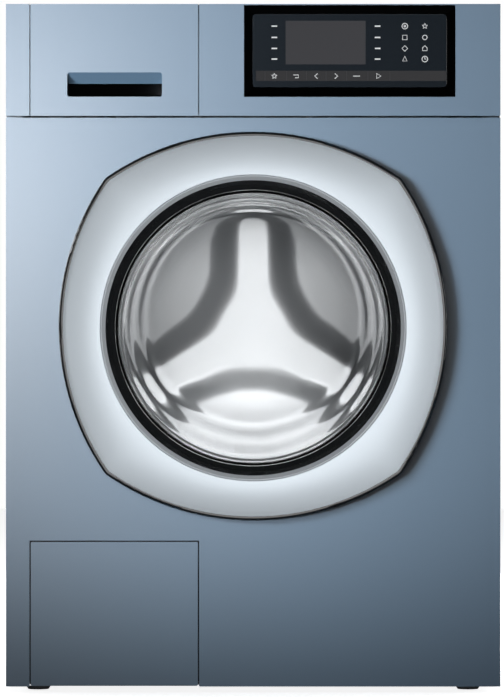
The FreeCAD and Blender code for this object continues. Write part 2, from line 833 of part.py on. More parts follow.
def glass_trim_ring():
    """Bevelled black ring between the silver lip and the glass."""
    outer = lip_radius - door_fit
    seat = -door_back_gap - frame_plate - 2
    flange_face = seat - glass_thickness - door_fit
    skirt = flange_radius + door_fit
    profile = [(outer, seat), (outer, -trim_proud), (outer - 2, -trim_proud - 0.6),
               (trim_inner, -trim_drop), (trim_inner, flange_face - door_fit),
               (skirt, flange_face - door_fit), (skirt, seat)]
    return turned(profile)


def bowl_solid(skin):
    """Bowl that narrows to a flat floor set above the axis, as stacked circles."""
    wires = []
    for u in (0.0, 0.25, 0.5, 0.75, 0.9, 1.0):
        side = 1 - u ** 4
        radius = bowl_floor + (bowl_mouth - bowl_floor) * (0.55 * (1 - u) + 0.45 * side) + skin
        depth = -door_back_gap - frame_plate - 2 - glass_thickness + bowl_depth * u + skin * u
        centre = V(0, FRONT + depth, axis_height + bowl_rise * u * u)
        wires.append(Part.Wire([Part.Circle(centre, V(0, 1, 0), radius).toShape()]))
    return Part.makeLoft(wires, True, False)


def door_glass():
    """Thick glass bowl with a flat flange."""
    back = -door_back_gap - frame_plate - 2
    flange = level_bar(flange_radius, 0, axis_height, back - glass_thickness, back)
    return fused(flange, bowl_solid(glass_thickness)).cut(bowl_solid(0.0))


def hinge_bracket():
    """Plate behind the front panel with two arms that reach out to the hinge axis."""
    back = sheet + hinge_plate
    z0, z1 = hinge_z[0] - 14, hinge_z[1] + 14
    parts = [plate(hinge_x - 15, hinge_x + 12, z0, z1, 4, sheet, back)]
    for z in hinge_z:
        z_low = z - hinge_arm_height / 2
        z_high = z + hinge_arm_height / 2
        arm = hinge_arm_width / 2
        parts.append(block(hinge_x - arm, hinge_x + arm, -hinge_out, back, z_low, z_high))
        parts.append(post(hinge_eye, hinge_x, -hinge_out, z_low, z_high))
    bracket = fused(*parts)
    return bracket.cut([post(hinge_pin + running_gap, hinge_x, -hinge_out, z - 10, z + 10) for z in hinge_z])


def hinge_pins():
    length = hinge_pin_length / 2 - 1 - running_gap
    return Part.makeCompound([post(hinge_pin, hinge_x, -hinge_out, z - length, z + length) for z in hinge_z])


def latch_hook():
    """Hook on its own pivot, reaching through the panel into the lock."""
    middle = latch_reach + latch_width / 2
    half_height = latch_height / 2
    shank = block(latch_reach, latch_reach + latch_width, -latch_out, latch_length,
                  axis_height - half_height, axis_height + half_height)
    eye = post(latch_pivot + 1.5, middle, -latch_out, axis_height - half_height, axis_height + half_height)
    pivot = post(latch_pivot, middle, -latch_out, axis_height - half_height - 4,
                 axis_height + half_height + 4)
    tip = latch_reach + latch_width
    nose = polygon([V(tip - 1, FRONT + latch_length - 9, axis_height - half_height),
                    V(tip + latch_nose, FRONT + latch_length - 9, axis_height - half_height),
                    V(tip, FRONT + latch_length, axis_height - half_height),
                    V(tip - 1, FRONT + latch_length, axis_height - half_height)])
    return fused(shank, eye, pivot, nose.extrude(V(0, 0, latch_height)))


def door_lock():
    """Lock case on the back of the panel, open towards the hook."""
    room = latch_height / 2 + 3
    x0, x1 = latch_reach - 5, latch_reach + latch_width + latch_nose + 3
    case = block(x0 - lock_wall, x1 + lock_wall, sheet, lock_depth, axis_height - room - 24,
                 axis_height + room + lock_wall)
    case = case.cut(level_bar(opening_radius + sheet + door_fit, 0, axis_height, 0, lock_depth + 1))
    return case.cut(block(x0, x1, 0, lock_depth - lock_wall, axis_height - room, axis_height + room))


def door_gasket():
    """Rubber bellows from the collar of the front panel to the lip of the tub."""
    seat = opening_radius - door_fit
    grip = tub_lip_radius + tub_lip_wall + door_fit
    end = tub_front_depth - 2
    wall = gasket_wall
    neck = grip + wall
    fold = neck + gasket_fold
    mid = collar_depth + 19
    profile = [(seat, 1), (seat, collar_depth + 2), (neck, collar_depth + 6), (fold, mid - 3),
               (fold, mid + 3), (neck, mid + 12), (neck, end), (grip, end), (grip, mid + 11),
               (fold - wall, mid + 1.5),
               (fold - wall, mid - 1.5), (grip, collar_depth + 8), (grip - 6, collar_depth - 2),
               (grip - 9, 5), (grip - 6.5, 4), (grip - 2, collar_depth - 3), (seat - wall, collar_depth - 2),
               (seat - wall, 1)]
    return turned(profile)


# Tub, drum and drive.
def tub_rear():
    """Bucket with flange, ribbed back, bearing hub, lugs and spigots."""
    z = axis_height
    bucket = level_bar(tub_outer, 0, z, tub_joint, tub_back + tub_wall)
    flange = level_bar(tub_outer + tub_flange, 0, z, tub_joint, tub_joint + flange_thickness)
    hub = level_bar(hub_radius, 0, z, tub_back, hub_end)
    rib = block(hub_radius - 2, tub_outer - 2, tub_back + tub_wall / 2, tub_back + tub_wall + rib_height,
                z - rib_thickness / 2, z + rib_thickness / 2)
    reach = spring_radius + 2 * spring_wire
    seat = z + spring_seat
    lugs = []
    for side in (-1, 1):
        x0, x1 = sorted((side * tub_radius * 0.7, side * (spring_x + reach)))
        lugs.append(block(x0, x1, spring_depth - reach, spring_depth + reach, seat - 12, seat))
        lugs.append(block(side * damper_x - damper_rod * 2, side * damper_x + damper_rod * 2,
                          damper_depth - damper_rod * 2, damper_depth + damper_rod * 2, damper_seat, z))
    fill = post(outlet_radius, fill_x, fill_depth, z, fill_bottom)
    sump = post(sump_radius, sump_x, sump_depth, z - tub_outer - 18, z)
    tub = fused(bucket, flange, hub, fill, sump, *(lugs + around(rib, rib_count)))
    cuts = [level_bar(tub_radius, 0, z, tub_joint - 1, tub_back)]
    cuts.append(post(outlet_radius - hose_wall, fill_x, fill_depth, z, total_height))
    cuts.append(post(sump_radius - hose_wall, sump_x, sump_depth, 0, z))
    cuts.append(level_bar(shaft_front + 6, 0, z, tub_back - 1, hub_end + 1))
    cuts.append(level_bar(bearing_front + running_gap, 0, z, tub_back + tub_wall, tub_back + tub_wall
                          + bearing_front_width))
    cuts.append(level_bar(bearing_rear + running_gap, 0, z, hub_end - bearing_rear_width, hub_end + 1))
    cuts.extend(tub_bolt_holes())
    return tub.cut(cuts)


def tub_bolt_holes():
    place = tub_outer + tub_flange / 2
    hole = level_bar(tub_bolt_radius + door_fit, place, axis_height, tub_front_depth - 1,
                     tub_joint + flange_thickness + 1)
    return around(hole, tub_bolt_count, 15)


def tub_front():
    """Front cover with the lip that carries the gasket."""
    lip = tub_lip_radius + tub_lip_wall
    rim = tub_outer + tub_flange
    d0, d1 = tub_front_depth, tub_front_depth + tub_wall
    profile = [(tub_lip_radius, d0 - tub_lip_length), (lip, d0 - tub_lip_length), (lip, d0), (rim, d0),
               (rim, tub_joint), (tub_radius, tub_joint), (tub_radius, d1), (tub_lip_radius, d1)]
    holes = tub_bolt_holes()
    for x in (-heater_spread, heater_spread):
        holes.append(level_bar(heater_radius + door_fit, x, heater_height(), d0 - 1, d1 + 1))
    return turned(profile).cut(holes)


def tub_bolts():
    place = tub_outer + tub_flange / 2
    shank = level_bar(tub_bolt_radius, place, axis_height, tub_front_depth - 1,
                      tub_joint + flange_thickness + 1)
    head = level_bar(tub_flange / 2, place, axis_height, tub_front_depth - 5, tub_front_depth)
    nut = level_bar(tub_flange / 2, place, axis_height, tub_joint + flange_thickness,
                    tub_joint + flange_thickness + 5)
    return Part.makeCompound(around(fused(shank, head, nut), tub_bolt_count, 15))


def heater_height():
    middle = (drum_radius + tub_radius) / 2
    return axis_height - math.sqrt(middle ** 2 - heater_spread ** 2)


def heating_element():
    """Bent tube under the drum, on a flange with two terminals."""
    z = heater_height()
    d0 = tub_front_depth
    far = d0 + tub_length - heater_end_gap
    start = V(-heater_spread, FRONT + d0 - heater_tail, z)
    left = V(-heater_spread, FRONT + far, z)
    right = V(heater_spread, FRONT + far, z)
    end = V(heater_spread, FRONT + d0 - heater_tail, z)
    bend = Part.Arc(left, V(0, FRONT + far + heater_spread, z), right)
    path = Part.Wire([Part.LineSegment(start, left).toShape(), bend.toShape(),
                      Part.LineSegment(right, end).toShape()])
    section = Part.Wire([Part.Circle(start, V(0, 1, 0), heater_radius).toShape()])
    tube = path.makePipeShell([section], True, False)
    reach = heater_spread + heater_plate
    flange = plate(-reach, reach, z - heater_plate, z + heater_plate, heater_plate - 2, d0 - 4, d0)
    return fused(flange, tube)


def front_counterweights():
    """Two cast segments bolted low on the tub front, either side of the heater."""
    outer = tub_outer - 3
    face = tub_front_depth - weight_thickness
    profile = [(weight_inner, face), (outer, face), (outer, tub_front_depth), (weight_inner, tub_front_depth)]
    return Part.makeCompound([turned(profile, start, weight_angle) for start in (284, 256 - weight_angle)])


def upper_counterweight():
    """Cast block saddled on top of the tub."""
    x0 = housing_right + upper_weight_gap
    d0 = tub_front_depth + tub_wall + upper_weight_front_gap
    crown = axis_height + tub_outer + upper_weight_rise
    slab = block(x0, x0 + upper_weight_width, d0, tub_back - upper_weight_end_gap, axis_height, crown)
    top = [e for e in slab.Edges if min(v.Z for v in e.Vertexes) > crown - 1e-6]
    slab = slab.makeChamfer(12, top)
    return slab.cut(level_bar(tub_outer + door_fit, 0, axis_height, 0, cabinet_depth))


def bearings():
    z = axis_height
    d0 = tub_back + tub_wall
    front = level_bar(bearing_front, 0, z, d0, d0 + bearing_front_width)
    front = front.cut(level_bar(shaft_front + running_gap, 0, z, 0, cabinet_depth))
    rear = level_bar(bearing_rear, 0, z, hub_end - bearing_rear_width, hub_end)
    return Part.makeCompound([front, rear.cut(level_bar(shaft_rear + running_gap, 0, z, 0, cabinet_depth))])


def drum_shell():
    outer = level_bar(drum_radius, 0, axis_height, drum_front_depth + drum_shoulder, drum_back_depth)
    return outer.cut(level_bar(drum_radius - drum_sheet, 0, axis_height, 0, cabinet_depth))


def drum_front():
    """Dished front ring with a rolled mouth."""
    t = drum_sheet
    r, d, s = drum_radius, drum_front_depth, drum_shoulder
    profile = [(r, d + s), (r, d + s * 0.6), (r - s * 0.7, d), (drum_mouth + 4, d), (drum_mouth, d + 4),
               (drum_mouth, d + 9), (drum_mouth + t, d + 9), (drum_mouth + t, d + 4.5),
               (drum_mouth + 4.5, d + t), (r - s * 0.7 - 0.4, d + t), (r - t, d + s * 0.6 + 0.5),
               (r - t, d + s)]
    return turned(profile)


def star(inset, d0, d1):
    """Three tapered arms and a round centre, raised from the back wall towards the mouth."""
    shapes = []
    z = axis_height
    wide = star_arm / 2 - inset
    narrow = wide - star_taper
    tip = drum_radius - star_end_gap - inset
    low = rounded(-wide, wide, z - wide, z + tip, wide * 0.9, d1)
    high = rounded(-narrow, narrow, z - narrow, z + tip - star_taper, narrow * 0.9, d0)
    arm = Part.makeLoft([low, high], True, True)
    shapes.extend(around(arm, 3))
    height = d1 - d0
    shapes.append(Part.makeCone(star_hub - inset, star_hub - inset - star_taper, height,
                                V(0, FRONT + d1, z), V(0, -1, 0)))
    return fused(*shapes)


def drum_back():
    """Back wall: a flat edge, a shallow cone towards the mouth, and a three-armed star pressed into it."""
    back = drum_back_depth
    edge = drum_radius - drum_sheet - door_fit
    foot = drum_radius - dish_edge
    crest = back - dish_height
    wall = turned([(0, crest - drum_sheet), (dish_cap, crest - drum_sheet), (foot, back - drum_sheet),
                   (edge, back - drum_sheet), (edge, back), (foot, back), (dish_cap, crest), (0, crest)])
    behind = turned([(0, crest), (dish_cap, crest), (foot, back), (0, back)])
    raised = star(0, back - drum_sheet - star_height, back).cut(behind)
    hollow = star(drum_sheet, back - star_height, back + 0.01)
    return fused(wall, raised).cut(hollow)


def drum_lifters():
    """Three ridges along the drum wall, in line with the arms of the star."""
    z = axis_height
    seat = drum_radius - drum_sheet - door_fit
    crest = z + seat - lifter_height
    base = z + drum_radius
    d0 = drum_front_depth + drum_shoulder + lifter_end_gap
    d1 = drum_back_depth - drum_sheet - star_height - lifter_end_gap

    def outline(depth, lower):
        y = FRONT + depth
        top = lifter_top / 2
        foot = lifter_base / 2
        low = crest + lower
        edges = [Part.Arc(V(-top, y, low + 6), V(0, y, low), V(top, y, low + 6)).toShape(),
                 Part.LineSegment(V(top, y, low + 6), V(foot, y, base)).toShape(),
                 Part.LineSegment(V(foot, y, base), V(-foot, y, base)).toShape(),
                 Part.LineSegment(V(-foot, y, base), V(-top, y, low + 6)).toShape()]
        return Part.Wire(edges)

    slope = lifter_height / 3
    ridge = Part.makeLoft([outline(d0, slope), outline(d0 + 40, 0), outline(d1 - 20, 0), outline(d1, slope)],
                          True, True)
    ridge = ridge.common(level_bar(seat, 0, z, 0, cabinet_depth))
    return Part.makeCompound(around(ridge, 3))


def drum_spider():
    """Cast three-armed carrier with its stepped shaft."""
    z = axis_height
    d0 = drum_back_depth + spider_gap
    d1 = d0 + spider_thickness
    root, tip = spider_arm_root / 2, spider_arm_tip / 2
    reach = drum_radius - 4
    y = FRONT + d0
    arm = polygon([V(-root, y, z), V(-tip, y, z + reach), V(tip, y, z + reach), V(root, y, z)])
    arm = arm.extrude(V(0, spider_thickness, 0))
    groove = polygon([V(-root + 9, y + 8, z + spider_hub), V(-tip + 7, y + 8, z + reach - 9),
                      V(tip - 7, y + 8, z + reach - 9), V(root - 9, y + 8, z + spider_hub)])
    arm = arm.cut(groove.extrude(V(0, spider_thickness, 0)))
    hub = Part.makeCone(spider_hub, spider_hub - 10, tub_back - 4 - d0, V(0, y, z), V(0, 1, 0))
    step = tub_back + tub_wall + bearing_front_width
    shaft = [level_bar(shaft_front, 0, z, d1 - 2, step + 2), level_bar(shaft_rear, 0, z, step, pulley_start),
             level_bar(shaft_tail, 0, z, hub_end, pulley_end + 8)]
    return fused(hub, *(around(arm, 3) + shaft))


def drum_pulley():
    """Spoked belt pulley on the tail of the shaft."""
    z = axis_height
    rim = level_bar(pulley_radius, 0, z, pulley_start, pulley_end)
    rim = rim.cut(level_bar(pulley_radius - pulley_rim, 0, z, 0, cabinet_depth))
    hub = level_bar(pulley_hub, 0, z, pulley_start, pulley_end)
    spoke = block(0, pulley_radius - pulley_rim / 2, pulley_start + 4, pulley_end - 4, z - 8, z + 8)
    wheel = fused(rim, hub, *around(spoke, pulley_spokes))
    return wheel.cut(level_bar(shaft_tail + running_gap, 0, z, 0, cabinet_depth))


def motor():
    """Motor slung under the tub by a saddle, with end caps and cooling slots."""
    end = pulley_start - 14
    start = end - motor_length
    body = level_bar(motor_radius, motor_x, motor_z, start, end)
    slots = []
    for i in range(8):
        slot = block(motor_x + motor_radius - 4, motor_x + motor_radius + 4, start + 40, end - 40,
                     motor_z - 4, motor_z + 4)
        slot.rotate(V(motor_x, 0, motor_z), V(0, 1, 0), 22 * i - 77)
        slots.append(slot)
    caps = [level_bar(motor_radius - 6, motor_x, motor_z, start - 12, start),
            level_bar(motor_radius - 12, motor_x, motor_z, end, end + 6)]
    top = axis_height - tub_radius + 40
    saddle = block(motor_x - 30, motor_x + 30, start + 20, end - 20, motor_z, top)
    saddle = saddle.cut(level_bar(tub_outer + door_fit, 0, axis_height, 0, cabinet_depth))
    shape = fused(body.cut(slots), saddle, *caps)
    return shape.cut(level_bar(motor_shaft + running_gap, motor_x, motor_z, end - 30, end + 8))


def motor_pulley():
    """Flanged pulley on the motor shaft."""
    end = pulley_start - 14
    shaft = level_bar(motor_shaft, motor_x, motor_z, end - 29, pulley_end + 4)
    wheel = level_bar(motor_pulley_radius, motor_x, motor_z, pulley_start - 2, pulley_end + 2)
    flange = motor_pulley_radius + belt_thickness
    flanges = [level_bar(flange, motor_x, motor_z, pulley_start - 2, pulley_start),
               level_bar(flange, motor_x, motor_z, pulley_end, pulley_end + 2)]
    return fused(shaft, wheel, *flanges)


def loop_face(big, small):
    """Outline of a band wrapped round the drum pulley and the motor pulley."""
    run = V(motor_x, 0, motor_z - axis_height)
    length = run.Length
    heading = math.atan2(run.z, run.x)
    lean = math.acos((big - small) / length)
    y = FRONT

    def on(x, z, radius, angle):
        return V(x + radius * math.cos(angle), y, z + radius * math.sin(angle))

    drum = [on(0, axis_height, big, heading + a) for a in (lean, math.pi, -lean)]
    pinion = [on(motor_x, motor_z, small, heading + a) for a in (-lean, 0, lean)]
    edges = [Part.Arc(*drum).toShape(), Part.LineSegment(drum[2], pinion[0]).toShape(),
             Part.Arc(*pinion).toShape(), Part.LineSegment(pinion[2], drum[0]).toShape()]
    return Part.Face(Part.Wire(edges))


def drive_belt():
    low, high = belt_gap, belt_gap + belt_thickness
    band = loop_face(pulley_radius + high, motor_pulley_radius + high)
    band = band.cut(loop_face(pulley_radius + low, motor_pulley_radius + low))
    middle = (pulley_start + pulley_end - belt_width) / 2
    belt = band.extrude(V(0, belt_width, 0))
    belt.translate(V(0, middle, 0))
    return belt


# Suspension.
def coil(x):
    """Open coil between the tub's lug and the hanger, as quarter-turn arcs."""
    low = axis_height + spring_seat + spring_wire + spring_clear
    high = hanger_height - spring_wire - spring_clear
    rise = (high - low) / spring_turns

    def at(turn):
        a = 2 * math.pi * turn
        return V(x + spring_radius * math.cos(a), FRONT + spring_depth + spring_radius * math.sin(a),
                 low + rise * turn)

    quarters = [i / 4 for i in range(4 * spring_turns)]
    arcs = [Part.Arc(at(q), at(q + 0.125), at(q + 0.25)).toShape() for q in quarters]
    section = Part.Wire([Part.Circle(at(0), V(0, 1, 0), spring_wire).toShape()])
    return Part.Wire(arcs).makePipeShell([section], True, False)


def suspension_springs():
    pitch = (hanger_height - axis_height - spring_seat - 2 * spring_wire) / spring_turns
    print("least gap between spring turns, mm:", round(pitch - 2 * spring_wire, 2))
    return Part.makeCompound([coil(-spring_x), coil(spring_x)])


def damper_cylinders():
    seat = base_top + damper_foot
    cylinders = []
    for x in (-damper_x, damper_x):
        body = post(damper_radius, x, damper_depth, seat, damper_top)
        cylinders.append(body.cut(post(damper_rod + door_fit, x, damper_depth, seat + 30, damper_top + 1)))
    return Part.makeCompound(cylinders)


def damper_rods():
    low = base_top + damper_foot + 50
    sides = (-damper_x, damper_x)
    return Part.makeCompound([post(damper_rod, x, damper_depth, low, damper_seat) for x in sides])


# Water.
def inlet_valve():
    """Solenoid valve behind the rear panel, with its threaded inlet outside."""
    x, z = valve_x, valve_height
    neck = level_bar(neck_radius, x, z, rear_inner - 14, cabinet_depth + 2)
    thread = level_bar(thread_radius, x, z, cabinet_depth, cabinet_depth + rear_reach)
    collar = level_bar(thread_radius + 6, x, z, rear_inner - 5, rear_inner)
    body = block(x - 15, x + 15, rear_inner - 44, rear_inner - 12, z - 15, z + 15)
    coil_can = post(11, x, rear_inner - 28, z - 42, z - 15)
    stub = level_bar(valve_stub, x, z, rear_inner - 66, rear_inner - 40)
    valve = fused(body, collar, neck, thread, coil_can, stub)
    return valve.cut(level_bar(thread_radius - 3, x, z, cabinet_depth + 2, cabinet_depth + rear_reach + 1))


def inlet_hose():
    d0, d1 = housing_end + 1, rear_inner - 46
    bore = valve_stub + fit
    hose = level_bar(bore + hose_wall, valve_x, valve_height, d0, d1)
    return hose.cut(level_bar(bore, valve_x, valve_height, 0, cabinet_depth))


def ribbed_hose(bore, x, depth, z0, z1, ribs):
    """Short upright bellows with round cuffs."""
    wall = bore + hose_wall
    crest = wall + 4
    cuff = 10.0
    pitch = (z1 - z0 - 2 * cuff) / ribs
    outside = [(wall, z0), (wall, z0 + cuff)]
    for i in range(ribs):
        z = z0 + cuff + pitch * i
        outside += [(crest, z + pitch * 0.35), (crest, z + pitch * 0.65), (wall, z + pitch)]
    outside.append((wall, z1))
    return turned_upright(outside + [(bore, z1), (bore, z0)], x, depth)


def dispenser_hose():
    return ribbed_hose(outlet_radius + door_fit, fill_x, fill_depth, fill_bottom - 12, fill_top, 3)


def drain_pump():
    """Filter housing open to the front, volute, pump motor, spigots and a foot on the base."""
    x, z = pump_x, pump_height
    d0, d1 = bay_back, bay_back + pump_length
    shell = level_bar(pump_radius, x, z, d0, d1)
    windings = level_bar(pump_radius - 10, x, z, d1, d1 + 58)
    foot_block = block(x - 22, x + 22, d0 + 6, d1 + 40, base_top, z)
    intake = cross_bar(sump_radius, x, x + pump_radius + 30, sump_depth, z)
    outlet = post(drain_radius, drain_x, sump_depth, z, z + pump_radius + 16)
    pump = fused(shell, windings, foot_block, intake, outlet)
    return pump.cut([level_bar(pump_bore, x, z, d0 - 1, d1 - 6),
                     cross_bar(sump_radius - hose_wall, x, x + pump_radius + 40, sump_depth, z),
                     post(drain_radius - hose_wall, drain_x, sump_depth, z, z + pump_radius + 20)])


def pump_filter():
    """Screw-in filter: knob with a grip bar, sealing plug and slotted cage."""
    x, z = pump_x, pump_height
    face = bay_back - filter_knob
    knob = level_bar(filter_radius, x, z, face, bay_back)
    grip_bar = block(x - filter_radius + 6, x + filter_radius - 6, face - 9, face, z - 4, z + 4)
    plug = level_bar(filter_radius, x, z, bay_back, bay_back + 14)
    cage = level_bar(filter_radius - 3, x, z, bay_back + 14, bay_back + pump_length - 14)
    cage = cage.cut(level_bar(filter_radius - 6, x, z, bay_back + 18, bay_back + pump_length))
    for i in range(4):
        slot = block(x - 5, x + 5, bay_back + 22, bay_back + pump_length - 20, z, z + filter_radius)
        slot.rotate(V(x, 0, z), V(0, 1, 0), 90 * i + 45)
        cage = cage.cut(slot)
    return fused(knob, grip_bar, plug, cage)


def filter_bay():
    """Moulded bay behind the flap, with a hole for the filter and two hinge arms."""
    wall = bay_wall
    x0, x1 = column_left - wall, column_right + wall
    top = flap_top + wall
    bay = block(x0 - wall, x1 + wall, sheet, bay_back, base_top, top + wall)
    bay = bay.cut(block(x0, x1, sheet - 1, bay_depth, base_top + wall, top))
    bay = bay.cut(block(x0, x1, sheet - 1, panel_flange, base_top - 1, top))
    bay = bay.cut(level_bar(filter_radius + filter_gap, pump_x, pump_height, bay_depth - 1, bay_back + 1))
    arms = []
    for z in flap_arms():
        arms.append(block(flap_axis_x - flap_eye + 0.8, flap_axis_x + flap_eye, flap_axis_depth, bay_back,
                          z, z + flap_arm_height))
        arms.append(post(flap_eye, flap_axis_x, flap_axis_depth, z, z + flap_arm_height))
    bay = fused(bay, *arms)
    return bay.cut([post(flap_pin + running_gap, flap_axis_x, flap_axis_depth, z - 1, z + flap_arm_height + 1)
                    for z in flap_arms()])


def flap_arms():
    span = flap_top - underside_height
    return [underside_height + span * 0.15, underside_height + span * 0.75]


def service_flap():
    """Flush flap with stiffening ribs; its pintles drop into the arms of the bay."""
    x0, x1 = column_left + flap_gap, column_right - flap_gap
    z0, z1 = underside_height + flap_gap / 2, flap_top - flap_gap
    face = plate(x0, x1, z0, z1, 1.5, 0, flap_thickness)
    back = flap_thickness + flap_rib_depth
    levels = (z0 + 12, (z0 + z1) / 2, z1 - 12)
    ribs = [block(x0 + 22, x1 - 8, flap_thickness - 1, back, z, z + 2) for z in levels]
    ribs += [block(x, x + 2, flap_thickness - 1, back, z0 + 12, z1 - 10) for x in (x0 + 22, x1 - 8)]
    for z in flap_arms():
        low = z + flap_arm_height + door_fit
        high = low + flap_knuckle
        ribs.append(post(flap_eye, flap_axis_x, flap_axis_depth, low, high))
        ribs.append(block(flap_axis_x - flap_eye, flap_axis_x + flap_eye, flap_thickness - 1, flap_axis_depth,
                          low, high))
        ribs.append(post(flap_pin, flap_axis_x, flap_axis_depth, z, high))
    return fused(face, *ribs)


def sump_hose():
    top = axis_height - tub_outer - 4
    points = [V(sump_x, FRONT + sump_depth, top), V(sump_x, FRONT + sump_depth, pump_height),
              V(pump_x + pump_radius + 12, FRONT + sump_depth, pump_height)]
    bore = sump_radius + door_fit
    return tube_along(points, sump_bend, bore + hose_wall, bore)


def drain_hose():
    low = pump_height + pump_radius + 4
    y0, y1 = FRONT + sump_depth, FRONT + drain_rise_depth
    points = [V(drain_x, y0, low), V(drain_x, y0, drain_run_height), V(drain_x, y1, drain_run_height),
              V(drain_x, y1, drain_height), V(drain_x, FRONT + rear_inner - 12, drain_height)]
    bore = drain_radius + fit
    return tube_along(points, drain_bend, bore + hose_wall, bore)


def drain_spigot():
    """Through-spigot in the rear panel for the outgoing drain hose."""
    x, z = drain_x, drain_height
    end = cabinet_depth + rear_reach
    inside = level_bar(drain_radius, x, z, rear_inner - 26, rear_inner - 2)
    neck = level_bar(drain_neck, x, z, rear_inner - 4, cabinet_depth + 2)
    outside = level_bar(drain_radius, x, z, cabinet_depth, end)
    collar = level_bar(drain_radius + 7, x, z, rear_inner - 4, rear_inner)
    spigot = fused(inside, neck, outside, collar)
    return spigot.cut(level_bar(drain_neck - hose_wall, x, z, 0, end + 1))


def cord_gland():
    """Gland for the mains lead, clamped in the rear panel."""
    end = cabinet_depth + rear_reach - 6
    clamp = gland_radius + 3
    outside = rear_inner + sheet
    profile = [(cord_bore, rear_inner - 8), (clamp, rear_inner - 8), (clamp, rear_inner),
               (gland_radius, rear_inner), (gland_radius, outside), (clamp, outside), (clamp, outside + 4),
               (cord_bore + 2.5, end), (cord_bore, end)]
    return turned(profile, x=gland_x, z=gland_height)


parts = {
    "right_side_panel": side_panel(),
    "left_side_panel": mirrored(side_panel()),
    "base_pan": base_pan(),
    "front_panel": front_panel(),
    "rear_panel": rear_panel(),
    "rear_service_cover": rear_service_cover(),
    "transit_bolt_caps": transit_bolt_caps(),
    "top_cover": top_cover(),
    "crossbars": crossbars(),
    "control_fascia": control_fascia(),
    "display_frame": display_frame(),
    "display_glass": display_glass(),
    "control_board": control_board(),
    "drawer_front": drawer_front(),
    "drawer_tray": drawer_tray(),
    "siphon_insert": siphon_insert(),
    "dispenser_housing": dispenser_housing(),
    "door_ring": door_ring(),
    "door_inner_frame": door_inner_frame(),
    "glass_trim_ring": glass_trim_ring(),
    "door_glass": door_glass(),
    "hinge_bracket": hinge_bracket(),
    "hinge_pins": hinge_pins(),
    "latch_hook": latch_hook(),
    "door_lock": door_lock(),
    "door_gasket": door_gasket(),
    "tub_rear": tub_rear(),
    "tub_front": tub_front(),
    "tub_bolts": tub_bolts(),
    "heating_element": heating_element(),
    "front_counterweights": front_counterweights(),
    "upper_counterweight": upper_counterweight(),
    "bearings": bearings(),
    "drum_shell": drum_shell(),
    "drum_front": drum_front(),
    "drum_back": drum_back(),
    "drum_lifters": drum_lifters(),
    "drum_spider": drum_spider(),
    "drum_pulley": drum_pulley(),
    "drive_belt": drive_belt(),
    "motor": motor(),
    "motor_pulley": motor_pulley(),
    "suspension_springs": suspension_springs(),
    "damper_cylinders": damper_cylinders(),
    "damper_rods": damper_rods(),
    "inlet_valve": inlet_valve(),
    "inlet_hose": inlet_hose(),
    "dispenser_hose": dispenser_hose(),
    "drain_pump": drain_pump(),
    "pump_filter": pump_filter(),
    "filter_bay": filter_bay(),
    "service_flap": service_flap(),
    "sump_hose": sump_hose(),
    "drain_hose": drain_hose(),
    "drain_spigot": drain_spigot(),
    "cord_gland": cord_gland(),
}
foot_names = ["foot_front_left", "foot_rear_left", "foot_front_right", "foot_rear_right"]
for name, place in zip(foot_names, foot_places()):
    parts[name] = foot(*place)

os.makedirs("parts", exist_ok=True)
for name, shape in parts.items():
    shape.exportStep("parts/" + name + ".step")
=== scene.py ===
"""Looks of a front-loading washing machine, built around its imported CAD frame."""

import json
import math

import bpy
import numpy as np
from bpy.props import FloatProperty, FloatVectorProperty, IntProperty, PointerProperty
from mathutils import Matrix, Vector

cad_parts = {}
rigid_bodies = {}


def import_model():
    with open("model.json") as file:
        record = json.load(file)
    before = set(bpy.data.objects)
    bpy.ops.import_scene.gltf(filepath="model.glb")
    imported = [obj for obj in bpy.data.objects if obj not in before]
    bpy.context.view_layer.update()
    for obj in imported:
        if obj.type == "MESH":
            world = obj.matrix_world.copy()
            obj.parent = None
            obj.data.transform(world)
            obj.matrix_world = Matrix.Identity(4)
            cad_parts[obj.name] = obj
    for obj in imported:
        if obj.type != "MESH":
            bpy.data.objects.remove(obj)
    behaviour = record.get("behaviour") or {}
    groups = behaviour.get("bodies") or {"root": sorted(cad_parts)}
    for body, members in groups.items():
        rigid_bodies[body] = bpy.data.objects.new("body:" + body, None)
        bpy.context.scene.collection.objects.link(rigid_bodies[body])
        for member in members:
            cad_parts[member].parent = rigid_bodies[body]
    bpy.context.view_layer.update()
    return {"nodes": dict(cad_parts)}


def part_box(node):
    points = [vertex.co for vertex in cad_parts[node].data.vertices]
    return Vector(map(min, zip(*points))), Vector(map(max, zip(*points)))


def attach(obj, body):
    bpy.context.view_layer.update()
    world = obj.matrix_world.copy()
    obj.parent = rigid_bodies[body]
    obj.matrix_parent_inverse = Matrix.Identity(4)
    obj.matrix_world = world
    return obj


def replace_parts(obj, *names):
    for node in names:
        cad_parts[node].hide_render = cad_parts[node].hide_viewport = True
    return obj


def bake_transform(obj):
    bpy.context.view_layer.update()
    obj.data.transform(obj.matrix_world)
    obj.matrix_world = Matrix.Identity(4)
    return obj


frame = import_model()

bl_info = {
    "name": "Front-loading washing machine",
    "version": (1, 0, 0),
    "blender": (4, 5, 0),
    "location": "View3D > Sidebar > Washer",
    "description": "Dresses the frame of a washing machine with its finishes and fine pieces",
    "category": "Object",
}

MM = 0.001
TURN = 2 * math.pi
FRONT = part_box("front_panel")[0].y
AXIS_Z = sum(corner.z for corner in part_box("drum_shell")) / 2
# Two corners of the finger slot in the drawer front
GRIP_SLOT = ((-0.2256, FRONT, 0.7224), (-0.1106, -0.263, 0.7519))
# Middle (x, z) and height of what the photograph shows in the plane of the front
PICTURE_MIDDLE = (-0.001395, 0.41689)
PICTURE_HEIGHT = 0.84567
PAINTED = ("left_side_panel", "right_side_panel", "front_panel", "top_cover", "control_fascia",
           "drawer_front", "service_flap")


